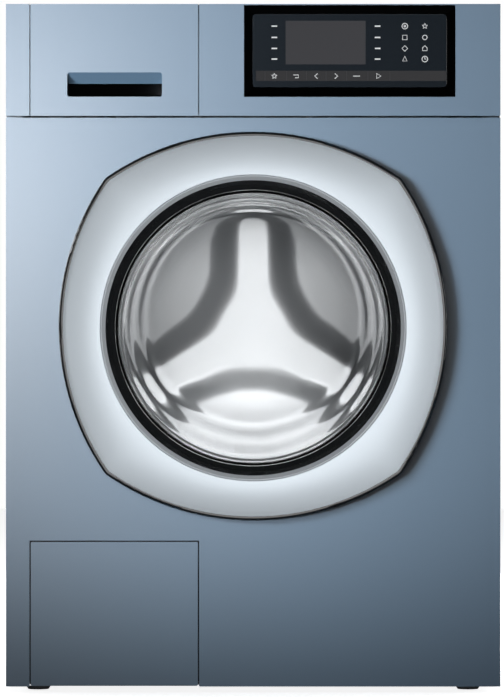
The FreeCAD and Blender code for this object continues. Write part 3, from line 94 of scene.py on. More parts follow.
# Settings
def colour_setting(name, description, default):
    """Colour that a user can change."""
    return FloatVectorProperty(name=name, description=description, subtype="COLOR", size=3, min=0.0,
                               max=1.0, default=default)


def length_setting(name, description, default, low, high):
    """Length in metres that a user can change."""
    return FloatProperty(name=name, description=description, unit="LENGTH", min=low, max=high,
                         default=default)


def power_setting(name, description, default):
    """Power of a lamp in watts that a user can change."""
    return FloatProperty(name=name, description=description, unit="POWER", min=0.0, max=500.0,
                         default=default)


class FinishSettings(bpy.types.PropertyGroup):
    """Colours and sheen of the finishes."""

    paint: colour_setting("Paint", "Blue-grey paint of the cabinet", (0.051, 0.098, 0.153))
    paint_roughness: FloatProperty(
        name="Paint roughness", description="Spread of the reflections in the paint", subtype="FACTOR",
        min=0.0, max=1.0, default=0.42)
    silver: colour_setting("Door silver", "Satin silver of the door ring", (0.65, 0.715, 0.77))
    black: colour_setting("Gloss black", "Black of the display frame and of the ring round the glass",
                          (0.006, 0.007, 0.008))
    touch: colour_setting("Touch glass", "Blue black of the touch glass", (0.0065, 0.0088, 0.0115))
    screen: colour_setting("Screen", "Dark grey of the screen that is switched off", (0.023, 0.024, 0.030))
    mark: colour_setting("Marks", "Pale grey of the printed touch marks", (0.72, 0.74, 0.76))


class DrumSettings(bpy.types.PropertyGroup):
    """Holes in the drum wall and the press of its back."""

    holes_around: IntProperty(
        name="Holes around", description="Holes in one ring of the drum wall", min=12, max=160, default=96)
    holes_along: IntProperty(
        name="Holes along", description="Rings of holes from front to back", min=4, max=40, default=20)
    hole_radius: length_setting("Hole radius", "Radius of one hole", 0.0024, 0.001, 0.006)
    rim_width: length_setting("Rim width", "Flat edge of the back wall", 0.034, 0.0, 0.1)
    cone: length_setting("Cone", "Rise of the back wall towards its middle", 0.015, 0.0, 0.05)
    star_arm: length_setting("Star arm", "Width of an arm of the pressed star", 0.074, 0.02, 0.15)
    star_reach: length_setting("Star reach", "From the axis to the end of an arm", 0.185, 0.05, 0.24)
    star_hub: length_setting("Star hub", "Radius of the middle of the star", 0.056, 0.02, 0.15)
    star_slope: length_setting("Star slope", "Width of the sloping edge of the star", 0.040, 0.005, 0.08)


class MarkSettings(bpy.types.PropertyGroup):
    """Sizes of the touch marks on the display glass."""

    stroke: length_setting("Stroke", "Width of a drawn line", 0.0009, 0.0002, 0.003)
    icon: length_setting("Icon", "Half the size of an icon", 0.0034, 0.001, 0.008)


class StageSettings(bpy.types.PropertyGroup):
    """Camera and lamps."""

    distance: length_setting("Camera distance", "From the camera to the front of the machine", 5.5,
                             1.0, 10.0)
    key: power_setting("Key lamp", "Lamp at the upper left", 1.4)
    front: power_setting("Front lamp", "Wide lamp before the painted front", 0.45)
    side: power_setting("Side lamp", "Lamp far to the left", 7.4)
    glow: power_setting("Glow lamp", "Low lamp that lights the front below the door", 0.5)
    door: power_setting("Door lamp", "Wide lamp that lights the door", 17.5)
    drum: power_setting("Drum lamp", "Strip lamp that lights the drum", 5.7)
    low: power_setting("Low lamp", "Level lamp that lights the foot of the drum", 6.0)
    inside: power_setting("Inside lamp", "Small lamp at the foot of the drum mouth", 0.08)
    wall: power_setting("Wall lamp", "Small lamp that lights the left of the drum wall", 0.05)
    back: power_setting("Back lamps", "Each lamp beside and behind the machine", 36.0)
    top: power_setting("Top lamp", "Lamp above the machine", 60.0)


SETTINGS = (("washer_finish", FinishSettings), ("washer_drum", DrumSettings),
            ("washer_marks", MarkSettings), ("washer_stage", StageSettings))


# Shader groups
def set_inputs(tree, node, inputs):
    """Gives input sockets, by name or number, a value of their own or a link from an output socket."""
    for socket, value in inputs.items():
        if isinstance(value, bpy.types.NodeSocket):
            tree.links.new(value, node.inputs[socket])
        else:
            node.inputs[socket].default_value = value


def add_node(tree, kind, inputs=None, operation=None):
    """Shader node of one kind with its inputs and, for a math node, its operation."""
    node = tree.nodes.new("ShaderNode" + kind)
    if operation:
        node.operation = operation
    set_inputs(tree, node, inputs or {})
    return node


def add_group(tree, group, inputs):
    """Shader group placed in a material with its own inputs."""
    node = tree.nodes.new("ShaderNodeGroup")
    node.node_tree = group
    set_inputs(tree, node, inputs)
    return node


def blend_colours(tree, share, first, second):
    """Output of a node that mixes two colours."""
    node = tree.nodes.new("ShaderNodeMix")
    node.data_type = "RGBA"
    set_inputs(tree, node, {"Factor": share, "A": first, "B": second})
    return node.outputs["Result"]


def new_group(name, inputs, outputs):
    """Empty shader group with named sockets: its tree, what it is given and the node that it leaves by."""
    tree = bpy.data.node_groups.new(name, "ShaderNodeTree")
    for label, kind, value in inputs:
        socket = tree.interface.new_socket(label, in_out="INPUT", socket_type="NodeSocket" + kind)
        socket.default_value = value
    for label, kind in outputs:
        tree.interface.new_socket(label, in_out="OUTPUT", socket_type="NodeSocket" + kind)
    return tree, tree.nodes.new("NodeGroupInput").outputs, tree.nodes.new("NodeGroupOutput")


def mottle_group():
    """Broad drift between two colours, and fine grain for sheen and height."""
    grey = (0.5, 0.5, 0.5, 1)
    tree, given, leave = new_group(
        "mottled_surface",
        [("Vector", "Vector", (0, 0, 0)), ("Drift scale", "Float", 3.0), ("Grain scale", "Float", 400.0),
         ("Colour A", "Color", grey), ("Colour B", "Color", grey), ("Sheen low", "Float", 0.3),
         ("Sheen high", "Float", 0.4)],
        [("Colour", "Color"), ("Roughness", "Float"), ("Height", "Float")])
    place = given["Vector"]
    drift = add_node(tree, "TexNoise", {"Vector": place, "Scale": given["Drift scale"], "Detail": 3.0})
    grain = add_node(tree, "TexNoise", {"Vector": place, "Scale": given["Grain scale"], "Detail": 2.0})
    fine = grain.outputs["Fac"]
    half = add_node(tree, "Math", {0: fine, 1: 0.5}, "MULTIPLY")
    share = add_node(tree, "Math", {0: drift.outputs["Fac"], 1: 0.5, 2: half.outputs[0]}, "MULTIPLY_ADD")
    sheen = add_node(tree, "MapRange", {"Value": fine, "To Min": given["Sheen low"],
                                        "To Max": given["Sheen high"]})
    mixed = blend_colours(tree, share.outputs[0], given["Colour A"], given["Colour B"])
    set_inputs(tree, leave, {"Colour": mixed, "Roughness": sheen.outputs["Result"], "Height": fine})
    return tree


def surface_group():
    """The one mottled group that all finishes share."""
    return bpy.data.node_groups.get("mottled_surface") or mottle_group()


def ring_group():
    """One between two radii about the level drum axis, nought elsewhere."""
    tree, given, leave = new_group(
        "inside_ring", [("Vector", "Vector", (0, 0, 0)), ("Inner", "Float", 0.1), ("Outer", "Float", 0.2)],
        [("Mask", "Float")])
    away = add_node(tree, "VectorMath", {0: given["Vector"], 1: (0, 0, AXIS_Z)}, "SUBTRACT")
    flat = add_node(tree, "VectorMath", {0: away.outputs["Vector"], 1: (1, 0, 1)}, "MULTIPLY")
    reach = add_node(tree, "VectorMath", {0: flat.outputs["Vector"]}, "LENGTH").outputs["Value"]
    above = add_node(tree, "Math", {0: reach, 1: given["Inner"]}, "GREATER_THAN")
    below = add_node(tree, "Math", {0: reach, 1: given["Outer"]}, "LESS_THAN")
    both = add_node(tree, "Math", {0: above.outputs[0], 1: below.outputs[0]}, "MULTIPLY")
    set_inputs(tree, leave, {"Mask": both.outputs[0]})
    return tree


# Finishes
def new_material(name):
    """Material with its node tree and its shader."""
    material = bpy.data.materials.new(name)
    material.use_nodes = True
    return material, material.node_tree, material.node_tree.nodes["Principled BSDF"]


def finish(name, colour, roughness, metallic=0.0, drift=3.0, grain=400.0, stretch=(1, 1, 1), vary=0.12,
           rough_span=0.08, bump=0.05, coat=0.0, coat_roughness=0.1, coat_index=1.5, specular=0.5, lip=None):
    """Material of one finish: mottled colour and sheen, with a fine bump from the same grain.

    A lip is the inner and outer radius of a ring about the drum axis, and the colour of that ring.
    """
    found = bpy.data.materials.get(name)
    if found:
        return found
    material, tree, shader = new_material(name)
    place = add_node(tree, "TexCoord").outputs["Object"]
    base = np.array(colour)
    brush = add_node(tree, "Mapping", {"Vector": place, "Scale": stretch})
    surface = add_group(tree, surface_group(), {
        "Vector": brush.outputs["Vector"], "Drift scale": drift, "Grain scale": grain,
        "Colour A": (*(base * (1 - vary)), 1), "Colour B": (*np.minimum(base * (1 + vary), 1), 1),
        "Sheen low": max(roughness - rough_span, 0.02), "Sheen high": roughness + rough_span}).outputs
    relief = add_node(tree, "Bump", {"Height": surface["Height"], "Strength": bump, "Distance": 0.4 * MM})
    tint = surface["Colour"]
    if lip:
        inner, outer, inside = lip
        mask = add_group(tree, ring_group(), {"Vector": place, "Inner": inner, "Outer": outer})
        tint = blend_colours(tree, mask.outputs["Mask"], tint, (*inside, 1))
    set_inputs(tree, shader, {
        "Base Color": tint, "Roughness": surface["Roughness"], "Normal": relief.outputs["Normal"],
        "Metallic": metallic, "Coat Weight": coat, "Coat Roughness": coat_roughness, "Coat IOR": coat_index,
        "Specular IOR Level": specular})
    return material


def gloss(name, colour, roughness, **more):
    """Smooth dark gloss."""
    return finish(name, colour, roughness, drift=5.0, grain=200.0, vary=0.2, rough_span=0.02, bump=0.0,
                  **more)


def brushed_steel(name, colour, roughness, rough_span, bump):
    """Steel with its grain drawn out along the drum axis."""
    return finish(name, colour, roughness, metallic=1.0, drift=4.0, grain=300.0, stretch=(1, 2 / 15, 1),
                  vary=0.05, rough_span=rough_span, bump=bump)


def zinc_sheet():
    """Spangled zinc of the rear sheets, springs and pins."""
    return finish("zinc_sheet", (0.52, 0.54, 0.56), 0.42, metallic=0.8, drift=25.0, grain=90.0, vary=0.18,
                  rough_span=0.12, bump=0.03)


def hose_rubber():
    """Black rubber of the hoses and the belt."""
    return finish("hose_rubber", (0.022, 0.022, 0.024), 0.62, drift=8.0, grain=350.0, vary=0.2, bump=0.15)


def clear_glass():
    """Clear door glass that lets lamp light through to the drum."""
    found = bpy.data.materials.get("door_glass_clear")
    if found:
        return found
    material, tree, shader = new_material("door_glass_clear")
    place = add_node(tree, "TexCoord").outputs["Object"]
    surface = add_group(tree, surface_group(), {
        "Vector": place, "Drift scale": 9.0, "Grain scale": 60.0, "Colour A": (0.93, 0.96, 0.96, 1),
        "Colour B": (0.98, 0.99, 0.99, 1), "Sheen low": 0.0, "Sheen high": 0.03}).outputs
    set_inputs(tree, shader, {"Base Color": surface["Colour"], "Roughness": surface["Roughness"],
                              "Transmission Weight": 1.0, "IOR": 1.46})
    shadow = add_node(tree, "LightPath").outputs["Is Shadow Ray"]
    through = add_node(tree, "BsdfTransparent")
    pick = add_node(tree, "MixShader", {0: shadow, 1: shader.outputs[0], 2: through.outputs[0]})
    set_inputs(tree, tree.nodes["Material Output"], {"Surface": pick.outputs[0]})
    return material


def dress(names, material):
    """Gives CAD nodes their finish."""
    for name in names:
        slots = frame["nodes"][name].data.materials
        slots.clear()
        slots.append(material)


# Surfaces
def circle_turns(count):
    """Even angles round a circle, from nought."""
    return np.linspace(0, TURN, count, endpoint=False)


def stacked(*columns):
    """Columns of numbers side by side along the last axis, each spread to the same shape."""
    return np.stack(np.broadcast_arrays(*columns), axis=-1)


def grid_faces(rows, columns, close_rows=False, close_columns=False):
    """Quads of a grid of points, row by row, closed round either way."""
    r = np.arange(rows if close_rows else rows - 1)
    c = np.arange(columns if close_columns else columns - 1)
    r, c = np.meshgrid(r, c, indexing="ij")
    r, c = r.ravel(), c.ravel()
    r1, c1 = (r + 1) % rows, (c + 1) % columns
    return stacked(r * columns + c, r * columns + c1, r1 * columns + c1, r1 * columns + c)


def fan_faces(rim, hub):
    """Triangles from each edge of a closed row of points to one hub."""
    return stacked(rim, np.roll(rim, -1), hub)


def make_piece(name, points, faces, material, body, smooth=True):
    """Mesh object from whole arrays, riding on one body of the frame when one is given."""
    mesh = bpy.data.meshes.new(name)
    points = np.asarray(points, dtype=np.float32).reshape(-1, 3)
    mesh.from_pydata(points.tolist(), [], [list(map(int, f)) for f in faces])
    mesh.polygons.foreach_set("use_smooth", np.full(len(mesh.polygons), smooth))
    mesh.materials.append(material)
    mesh.update()
    piece = bpy.data.objects.new(name, mesh)
    bpy.context.scene.collection.objects.link(piece)
    if body:
        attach(piece, body)
    return piece


def thicken(piece, thickness):
    """Gives a sheet its thickness, half of it to each side."""
    sheet = piece.modifiers.new("sheet", "SOLIDIFY")
    sheet.thickness = thickness
    sheet.offset = 0.0


def about_axis(radius, angle, depth):
    """Points about the level drum axis, behind the front by their depth: x = r cos a, z = r sin a."""
    return stacked(radius * np.cos(angle), FRONT + depth, AXIS_Z + radius * np.sin(angle))


def rounded_profile(corners, rounds):
    """Closed outline with its corners cut again and again to a smooth curve."""
    points = np.asarray(corners, dtype=float)
    for _ in range(rounds):
        after = np.roll(points, -1, axis=0)
        near = 0.75 * points + 0.25 * after
        far = 0.25 * points + 0.75 * after
        points = np.stack([near, far], axis=1).reshape(-1, 2)
    return points


def outward(points, faces):
    """Faces turned so that the closed surface has a positive volume."""
    corner = [points[faces[:, i]] for i in range(faces.shape[1])]
    volume = sum(np.einsum("ij,ij->", corner[0], np.cross(corner[i], corner[i + 1]))
                 for i in range(1, faces.shape[1] - 1))
    return faces if volume > 0 else faces[:, ::-1]


def barrel(size, bulge, turn):
    """Outline of four side arcs and four tangent corner arcs, by the direction of its normal.

    A side arc spreads the same angle to both sides of its middle, and its radius is size (1 + bulge).
    """
    spread = math.radians(34.3)
    quarter = np.round(turn / (TURN / 4)) * TURN / 4
    local = turn - quarter
    side = size * (1 + bulge)
    corner = side - size * bulge / (math.cos(spread) - math.sin(spread))
    inset = (side - corner) * math.sin(spread)
    flank = np.abs(local) <= spread
    x = np.where(flank, side * np.sin(local), np.sign(local) * inset + corner * np.sin(local))
    z = np.where(flank, side * np.cos(local) - side + size, inset + corner * np.cos(local))
    return x * np.cos(quarter) + z * np.sin(quarter), z * np.cos(quarter) - x * np.sin(quarter)


def door_dome(rim, lip, low, high, foot):
    """Rows (size, bulge, height) of the hollow door ring, from its rim over the front to its lip and back.

    Along the front t runs from 0 at the rim to 1 at the lip: the size falls evenly, the barrel turns to a
    circle, and the height is low + (high - low)(1 - (1 - t) squared). The inside lies one skin below.
    """
    skin, edge, bulge = 3 * MM, 0.4 * MM, 0.331
    front_rows, back_rows = 40, 24

    def front(t, down):
        """Rows of the front at each t, sunk by a depth."""
        height = low + (high - low) * (1 - (1 - t) ** 2)
        return stacked(rim + (lip - rim) * t - down, bulge * (1 - t), height - down)

    over = front(np.concatenate([[0.0, 0.008], np.linspace(0.03, 0.97, front_rows), [0.992, 1.0]]), 0.0)
    start = (rim - lip - 2 * skin) / (rim - lip)
    end = 1 - math.sqrt(1 - skin / (high - low))
    under = front(np.linspace(start, end, back_rows), skin)
    collar = np.array([[lip, 0, high - edge], [lip, 0, foot + edge], [lip, 0, foot], [lip + edge, 0, foot],
                       [lip + skin - edge, 0, foot], [lip + skin, 0, foot], [lip + skin, 0, foot + edge]])
    base = np.array([[rim - skin, bulge, low], [rim - edge, bulge, low]])
    return np.concatenate([over, collar, under, base])


def glass_side(skin, lip, mouth, floor, depth, rise, wave):
    """Rows (radius, depth, lift) of one side of the bowl, from its middle to its lip.

    Along the wall u runs from 0 at the mouth to 1 at the floor, and the radius is
    floor + (mouth - floor)(0.55(1 - u) + 0.45(1 - u to the fourth)); a bent stretch joins wall and floor.
    Three waves of a sine run up the wall. With v from 0 at the bend to 1 at the mouth, each is as high as
    wave times (v cubed + 2(1 - v) cubed).
    """
    floor_rows, bend_rows, wall_rows = 14, 12, 48
    floor_end, wall_end, waves = 0.84, 0.90, 3

    def wall(u):
        """Rows of the wall at each u."""
        side = 0.55 * (1 - u) + 0.45 * (1 - u ** 4)
        return stacked(floor + (mouth - floor) * side + skin, (depth + skin) * u, rise * u * u)

    level = stacked(np.linspace(2 * MM, floor * floor_end, floor_rows), depth + skin, rise)
    t = np.linspace(0, 1, bend_rows)[1:-1, None]
    start, end = level[-1], wall(np.float64(wall_end))
    elbow = np.array([floor + skin, depth + skin, rise])
    bend = (1 - t) ** 2 * start + 2 * t * (1 - t) * elbow + t ** 2 * end
    side = wall(np.linspace(wall_end, 0.0, wall_rows))
    v = np.linspace(0, 1, wall_rows)
    side[:, 0] += wave * np.sin(waves * TURN * v) * (v ** 3 + 2.0 * (1 - v) ** 3)
    edge = np.array([[lip, skin, 0.0]])
    if skin:
        side[-1] = (side[-1, 0], skin, 0.0)
    return np.concatenate([level, bend, side, edge])


def glass_bowl(count, skin, wave, lip, *shape):
    """Waved front and plain back of the bowl on one grid, with a point in the middle of each."""
    front = glass_side(0.0, lip, *shape, wave)
    back = glass_side(skin, lip, *shape, 0.0)[::-1]
    rows = np.concatenate([front, back])
    angle = circle_turns(count)
    radius, deep, lift = rows[:, :1], rows[:, 1:2], rows[:, 2:]
    sides = stacked(radius * np.cos(angle), deep, radius * np.sin(angle) + lift).reshape(-1, 3)
    poles = np.array([[0, front[0, 1], front[0, 2]], [0, back[-1, 1], back[-1, 2]]])
    points = np.concatenate([sides, poles])
    quads = outward(points, grid_faces(len(rows), count, close_columns=True))
    first, hub = np.arange(count), len(sides)
    last = first + hub - count
    fans = np.concatenate([fan_faces(first, hub), fan_faces(last, hub + 1)[:, ::-1]])
    if (quads[0, 0], quads[0, 1]) == (0, 1):
        fans = fans[:, ::-1]
    return points, quads.tolist() + fans.tolist()


def perforated_wall(radius, start, end, around, along, hole):
    """Cylinder wall in cells; each is a ring of quads between its edge and an eight-sided hole."""
    ring = np.array([[-1, -1], [0, -1], [1, -1], [1, 0], [1, 1], [0, 1], [-1, 1], [-1, 0]])
    i, j = np.meshgrid(np.arange(around), np.arange(along), indexing="ij")
    i, j = i.ravel(), j.ravel()
    columns = 2 * around
    u = (2 * i[:, None] + 1 + ring[:, 0]) % columns
    v = 2 * j[:, None] + 1 + ring[:, 1]
    edge = v * columns + u
    lattice = np.arange(columns * (2 * along + 1))
    angle = TURN * (lattice % columns) / columns
    level = start + (end - start) * (lattice // columns) / (2 * along)
    turn = np.arctan2(ring[:, 1], ring[:, 0])
    hole_angle = TURN * (2 * i[:, None] + 1) / columns + hole / radius * np.cos(turn)
    hole_level = start + (end - start) * (2 * j[:, None] + 1) / (2 * along) + hole * np.sin(turn)
    angle = np.concatenate([angle, hole_angle.ravel()])
    level = np.concatenate([level, hole_level.ravel()])
    points = about_axis(radius, angle, level)
    inner = len(lattice) + np.arange(hole_angle.size).reshape(hole_angle.shape)
    after = np.roll(np.arange(len(ring)), -1)
    faces = stacked(edge, edge[:, after], inner[:, after], inner).reshape(-1, 4)
    used, faces = np.unique(faces, return_inverse=True)
    return points[used], faces.reshape(-1, 4)


def soft_step(x):
    """Smooth rise from 0 to 1: 3x squared - 2x cubed."""
    x = np.clip(x, 0, 1)
    return x * x * (3 - 2 * x)


def pressed_back(edge, flat, cone, top, arm, tip, hub, slope):
    """Back wall of the drum on a polar grid, as a height over the flat edge.

    A low cone falls from the middle to the flat edge. The distance to the star is the soft least of the
    distances to its hub and its three arms, and across that distance the height rises from the cone to the
    flat star.
    """
    rows, count, arms = 96, 288, 3
    eye, soft, steep = 1.5 * MM, 9 * MM, 1.06
    r = np.linspace(eye, edge, rows)[:, None]
    a = circle_turns(count)
    x, z = r * np.cos(a), r * np.sin(a)
    away = [r - hub]
    for turn in TURN / 4 + circle_turns(arms):
        along = np.clip(x * math.cos(turn) + z * math.sin(turn), 0, tip - arm)
        away.append(np.hypot(x - along * math.cos(turn), z - along * math.sin(turn)) - arm)
    distance = -soft * np.log(sum(np.exp(-d / soft) for d in away))
    low = cone * soft_step(steep * (flat - r) / flat)
    height = low + (top - low) * soft_step(0.5 - distance / slope)
    points = stacked(x, -height, z).reshape(-1, 3)
    quads = grid_faces(rows, count, close_columns=True)
    fan = fan_faces(np.arange(count), len(points))[:, ::-1]
    return np.concatenate([points, [[0, -top, 0]]]), quads.tolist() + fan.tolist()


def ribbon(path, width, closed):
    """Flat line of one width: each point of the path is moved half the width to both sides."""
    path = np.asarray(path, dtype=float)
    if closed:
        ahead, behind = np.roll(path, -1, axis=0), np.roll(path, 1, axis=0)
    else:
        ahead, behind = np.vstack([path[1:], path[-1:]]), np.vstack([path[:1], path[:-1]])
    run = ahead - behind
    run /= np.linalg.norm(run, axis=1)[:, None]
    side = stacked(-run[:, 1], run[:, 0]) * width / 2
    points = np.stack([path + side, path - side], axis=1).reshape(-1, 2)
    return points, grid_faces(len(path), 2, close_rows=closed)


def screw_head(place, radius):
    """Dome on a polar grid, sunk along a cross: height = dome(r) - recess where |u| or |v| is small.

    The dome is rise times the root of (1 - curve r squared), in radii of the head.
    """
    rows, count = 9, 32
    rise, curve = 0.55, 0.92
    slot, reach, recess = 0.13, 0.62, 0.28
    r, a = np.meshgrid(np.linspace(0.02, 1.0, rows), circle_turns(count), indexing="ij")
    u, v = r * np.cos(a), r * np.sin(a)
    dome = rise * np.sqrt(1 - curve * r ** 2)
    cross = (np.minimum(np.abs(u), np.abs(v)) < slot) & (r < reach)
    height = np.where(cross, dome - recess, dome)
    top = stacked(u, height, v).reshape(-1, 3)
    skirt = stacked(u[-1], 0.0, v[-1])
    points = np.concatenate([top, skirt]) * radius + np.array(place)
    return points, grid_faces(rows + 1, count, close_columns=True)[:, ::-1]


def round_bar(path, inward, radius, count):
    """Tube round a path: a circle in the plane of the inward direction and its cross with the run."""
    run = np.gradient(path, axis=0)
    run /= np.linalg.norm(run, axis=1)[:, None]
    side = np.cross(run, inward)
    a = circle_turns(count)
    ring = np.cos(a)[:, None] * inward[:, None] + np.sin(a)[:, None] * side[:, None]
    return (path[:, None] + np.asarray(radius)[:, None, None] * ring).reshape(-1, 3)


def joined(parts):
    """Several point and face arrays as one."""
    points, faces, base = [], [], 0
    for p, f in parts:
        points.append(p)
        faces.append(np.asarray(f) + base)
        base += len(p)
    return np.concatenate(points), np.concatenate(faces)


# Pieces
class WASHER_OT_cabinet(bpy.types.Operator):
    """Finishes the cabinet: its paint, zinc and black mouldings, and a black sheet of painted shade in the
    finger slot
    """

    bl_idname = "washer.cabinet"
    bl_label = "Finish the cabinet"

    def execute(self, context):
        s = context.scene.washer_finish
        dress(PAINTED, finish("cabinet_paint", s.paint, s.paint_roughness, drift=2.0, grain=900.0, vary=0.05,
                              rough_span=0.05, bump=0.04, coat=1.0, coat_roughness=s.paint_roughness,
                              coat_index=1.6, specular=1.0))
        dress(["rear_panel", "rear_service_cover", "base_pan", "crossbars", "hinge_bracket", "hinge_pins",
               "latch_hook", "suspension_springs", "damper_rods", "tub_bolts", "heating_element", "bearings",
               "motor_pulley"], zinc_sheet())
        moulded = finish("moulded_black", (0.018, 0.019, 0.021), 0.5, drift=6.0, grain=700.0, vary=0.25,
                         rough_span=0.1, bump=0.12)
        dress(["foot_front_left", "foot_front_right", "foot_rear_left", "foot_rear_right", "filter_bay",
               "transit_bolt_caps", "cord_gland", "door_lock", "drain_pump", "damper_cylinders"], moulded)
        # Painted shade: a black sheet in the finger slot stands in for the slot's shadow
        self.grip_liner(moulded)
        return {"FINISHED"}

    def grip_liner(self, material):
        """Thin black sheet of painted shade in the finger slot: floor, back and roof as one bent sheet
        across the slot.
        """
        low, high = GRIP_SLOT
        inset, bend = 0.4 * MM, 3 * MM
        depth = [low[1] + bend, high[1] - bend, high[1] - inset, high[1] - inset]
        height = [low[2] + inset, low[2] + inset, low[2] + bend, high[2] - inset]
        edges = np.array([[low[0] + inset], [high[0] - inset]])
        # The sheet is painted shade, black where the slot lies in shadow
        shade_sheet = make_piece("grip_liner", stacked(edges, depth, height), grid_faces(2, 4), material, "drawer",
                           smooth=False)
        thicken(shade_sheet, 0.2 * MM)


class WASHER_OT_dispenser(bpy.types.Operator):
    """Finishes the drawer tray, its housing, the tub and the water pieces"""

    bl_idname = "washer.dispenser"
    bl_label = "Finish the dispenser"

    def execute(self, context):
        white = finish("dispenser_white", (0.74, 0.75, 0.76), 0.38, drift=5.0, grain=500.0, vary=0.04,
                       bump=0.05)
        dress(["drawer_tray", "dispenser_housing", "inlet_valve"], white)
        grey = finish("moulded_grey", (0.30, 0.31, 0.33), 0.48, drift=5.0, grain=450.0, vary=0.1, bump=0.08)
        dress(["siphon_insert", "pump_filter", "drain_spigot", "drain_hose", "tub_rear", "tub_front"], grey)
        dress(["inlet_hose", "dispenser_hose", "sump_hose", "drive_belt", "door_gasket"], hose_rubber())
        return {"FINISHED"}


class WASHER_OT_works(bpy.types.Operator):
    """Finishes the pieces inside the cabinet"""

    bl_idname = "washer.works"
    bl_label = "Finish the works"

    def execute(self, context):
        cast = finish("cast_alloy", (0.50, 0.51, 0.52), 0.5, metallic=0.85, drift=12.0, grain=220.0,
                      vary=0.12, bump=0.2)
        dress(["drum_spider", "drum_pulley", "motor"], cast)
        concrete = finish("cast_concrete", (0.42, 0.41, 0.39), 0.85, drift=18.0, grain=260.0, vary=0.22,
                          bump=0.5)
        dress(["front_counterweights", "upper_counterweight"], concrete)
        board = finish("board_green", (0.02, 0.13, 0.05), 0.4, drift=30.0, grain=600.0, vary=0.3, bump=0.05)
        dress(["control_board"], board)
        return {"FINISHED"}


class WASHER_OT_door(bpy.types.Operator):
    """Finishes the door ring, the trim ring and the glass bowl"""

    bl_idname = "washer.door"
    bl_label = "Finish the door"

    def execute(self, context):
        s = context.scene.washer_finish
        silver = finish("satin_silver", s.silver, 0.58, metallic=0.35, drift=3.0, grain=1100.0, vary=0.04,
                        rough_span=0.05, bump=0.03, coat=0.1)
        dress(["door_ring"], silver)
        self.ring(silver)
        dress(["door_inner_frame"], gloss("gloss_black", s.black, 0.07))
        inner, outer, pale = 0.1785, 0.19, (0.42, 0.45, 0.48)
        dress(["glass_trim_ring"], gloss("trim_black", s.black, 0.12, lip=(inner, outer, pale)))
        dress(["door_glass"], clear_glass())
        self.bowl(clear_glass())
        return {"FINISHED"}

    def bowl(self, material):
        """Smooth glass bowl: a flat lip, a waved wall and a floor that lies a little above the axis."""
        low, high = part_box("door_glass")
        lip, skin, wave, rise = (high.z - low.z) / 2, 4 * MM, 0.7 * MM, 17 * MM
        mouth, floor, count = lip - 14 * MM, lip - 60 * MM, 160
        points, faces = glass_bowl(count, skin, wave, lip, mouth, floor, high.y - low.y - skin, rise)
        points = points + np.array([0.0, low.y, AXIS_Z])
        bowl = make_piece("door_glass_bowl", points, faces, material, "door")
        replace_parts(bowl, "door_glass")

    def ring(self, material):
        """Smooth silver ring: rows of the dome round the door, their centre drifting to the drum axis."""
        low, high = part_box("door_ring")
        centre, count = (low.z + high.z) / 2, 360
        gap, rim_height = 0.3 * MM, 13 * MM
        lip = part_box("glass_trim_ring")[1].x + gap
        rim = (high.z - low.z) / 2
        rows = door_dome(rim, lip, rim_height, FRONT - low.y, FRONT - high.y)
        x, z = barrel(rows[:, :1], rows[:, 1:2], circle_turns(count))
        drift = (rows[:, :1] - lip) / (rim - lip)
        z = z + AXIS_Z + (centre - AXIS_Z) * np.clip(drift, 0, 1)
        points = stacked(x, FRONT - rows[:, 2:], z).reshape(-1, 3)
        faces = outward(points, grid_faces(len(rows), count, True, True))
        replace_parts(make_piece("door_ring_dome", points, faces, material, "door"), "door_ring")


class WASHER_OT_gasket(bpy.types.Operator):
    """Builds the rubber bellows between the front panel and the tub"""

    bl_idname = "washer.gasket"
    bl_label = "Build the gasket"

    def execute(self, context):
        low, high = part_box("door_gasket")
        start, end = low.y - FRONT, high.y - FRONT
        fold, count = high.x, 144
        seat, grip, wall = fold - 2.6 * MM, fold - 16 * MM, 4 * MM
        neck, mid = grip + wall, start + 32 * MM
        outline = [(seat, start), (seat, start + 15 * MM), (neck, start + 19 * MM), (fold, mid - 3 * MM),
                   (fold, mid + 3 * MM), (neck, mid + 12 * MM), (neck, end), (grip, end),
                   (grip, mid + 11 * MM), (fold - wall, mid + 1.5 * MM), (fold - wall, mid - 1.5 * MM),
                   (grip, start + 21 * MM), (grip - 6 * MM, start + 11 * MM),
                   (grip - 9 * MM, start + 4 * MM), (grip - 6.5 * MM, start + 3 * MM),
                   (grip - 2 * MM, start + 10 * MM),
                   (seat - wall, start + 11 * MM), (seat - wall, start)]
        profile = rounded_profile(outline, 3)
        points = about_axis(profile[:, :1], circle_turns(count), profile[:, 1:])
        faces = grid_faces(len(profile), count, True, True)
        rubber = finish("gasket_grey", (0.50, 0.51, 0.52), 0.5, drift=8.0, grain=350.0, vary=0.06, bump=0.1)
        bellows = make_piece("gasket_bellows", points, faces, rubber, None)
        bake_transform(bellows)
        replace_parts(bellows, "door_gasket")
        return {"FINISHED"}


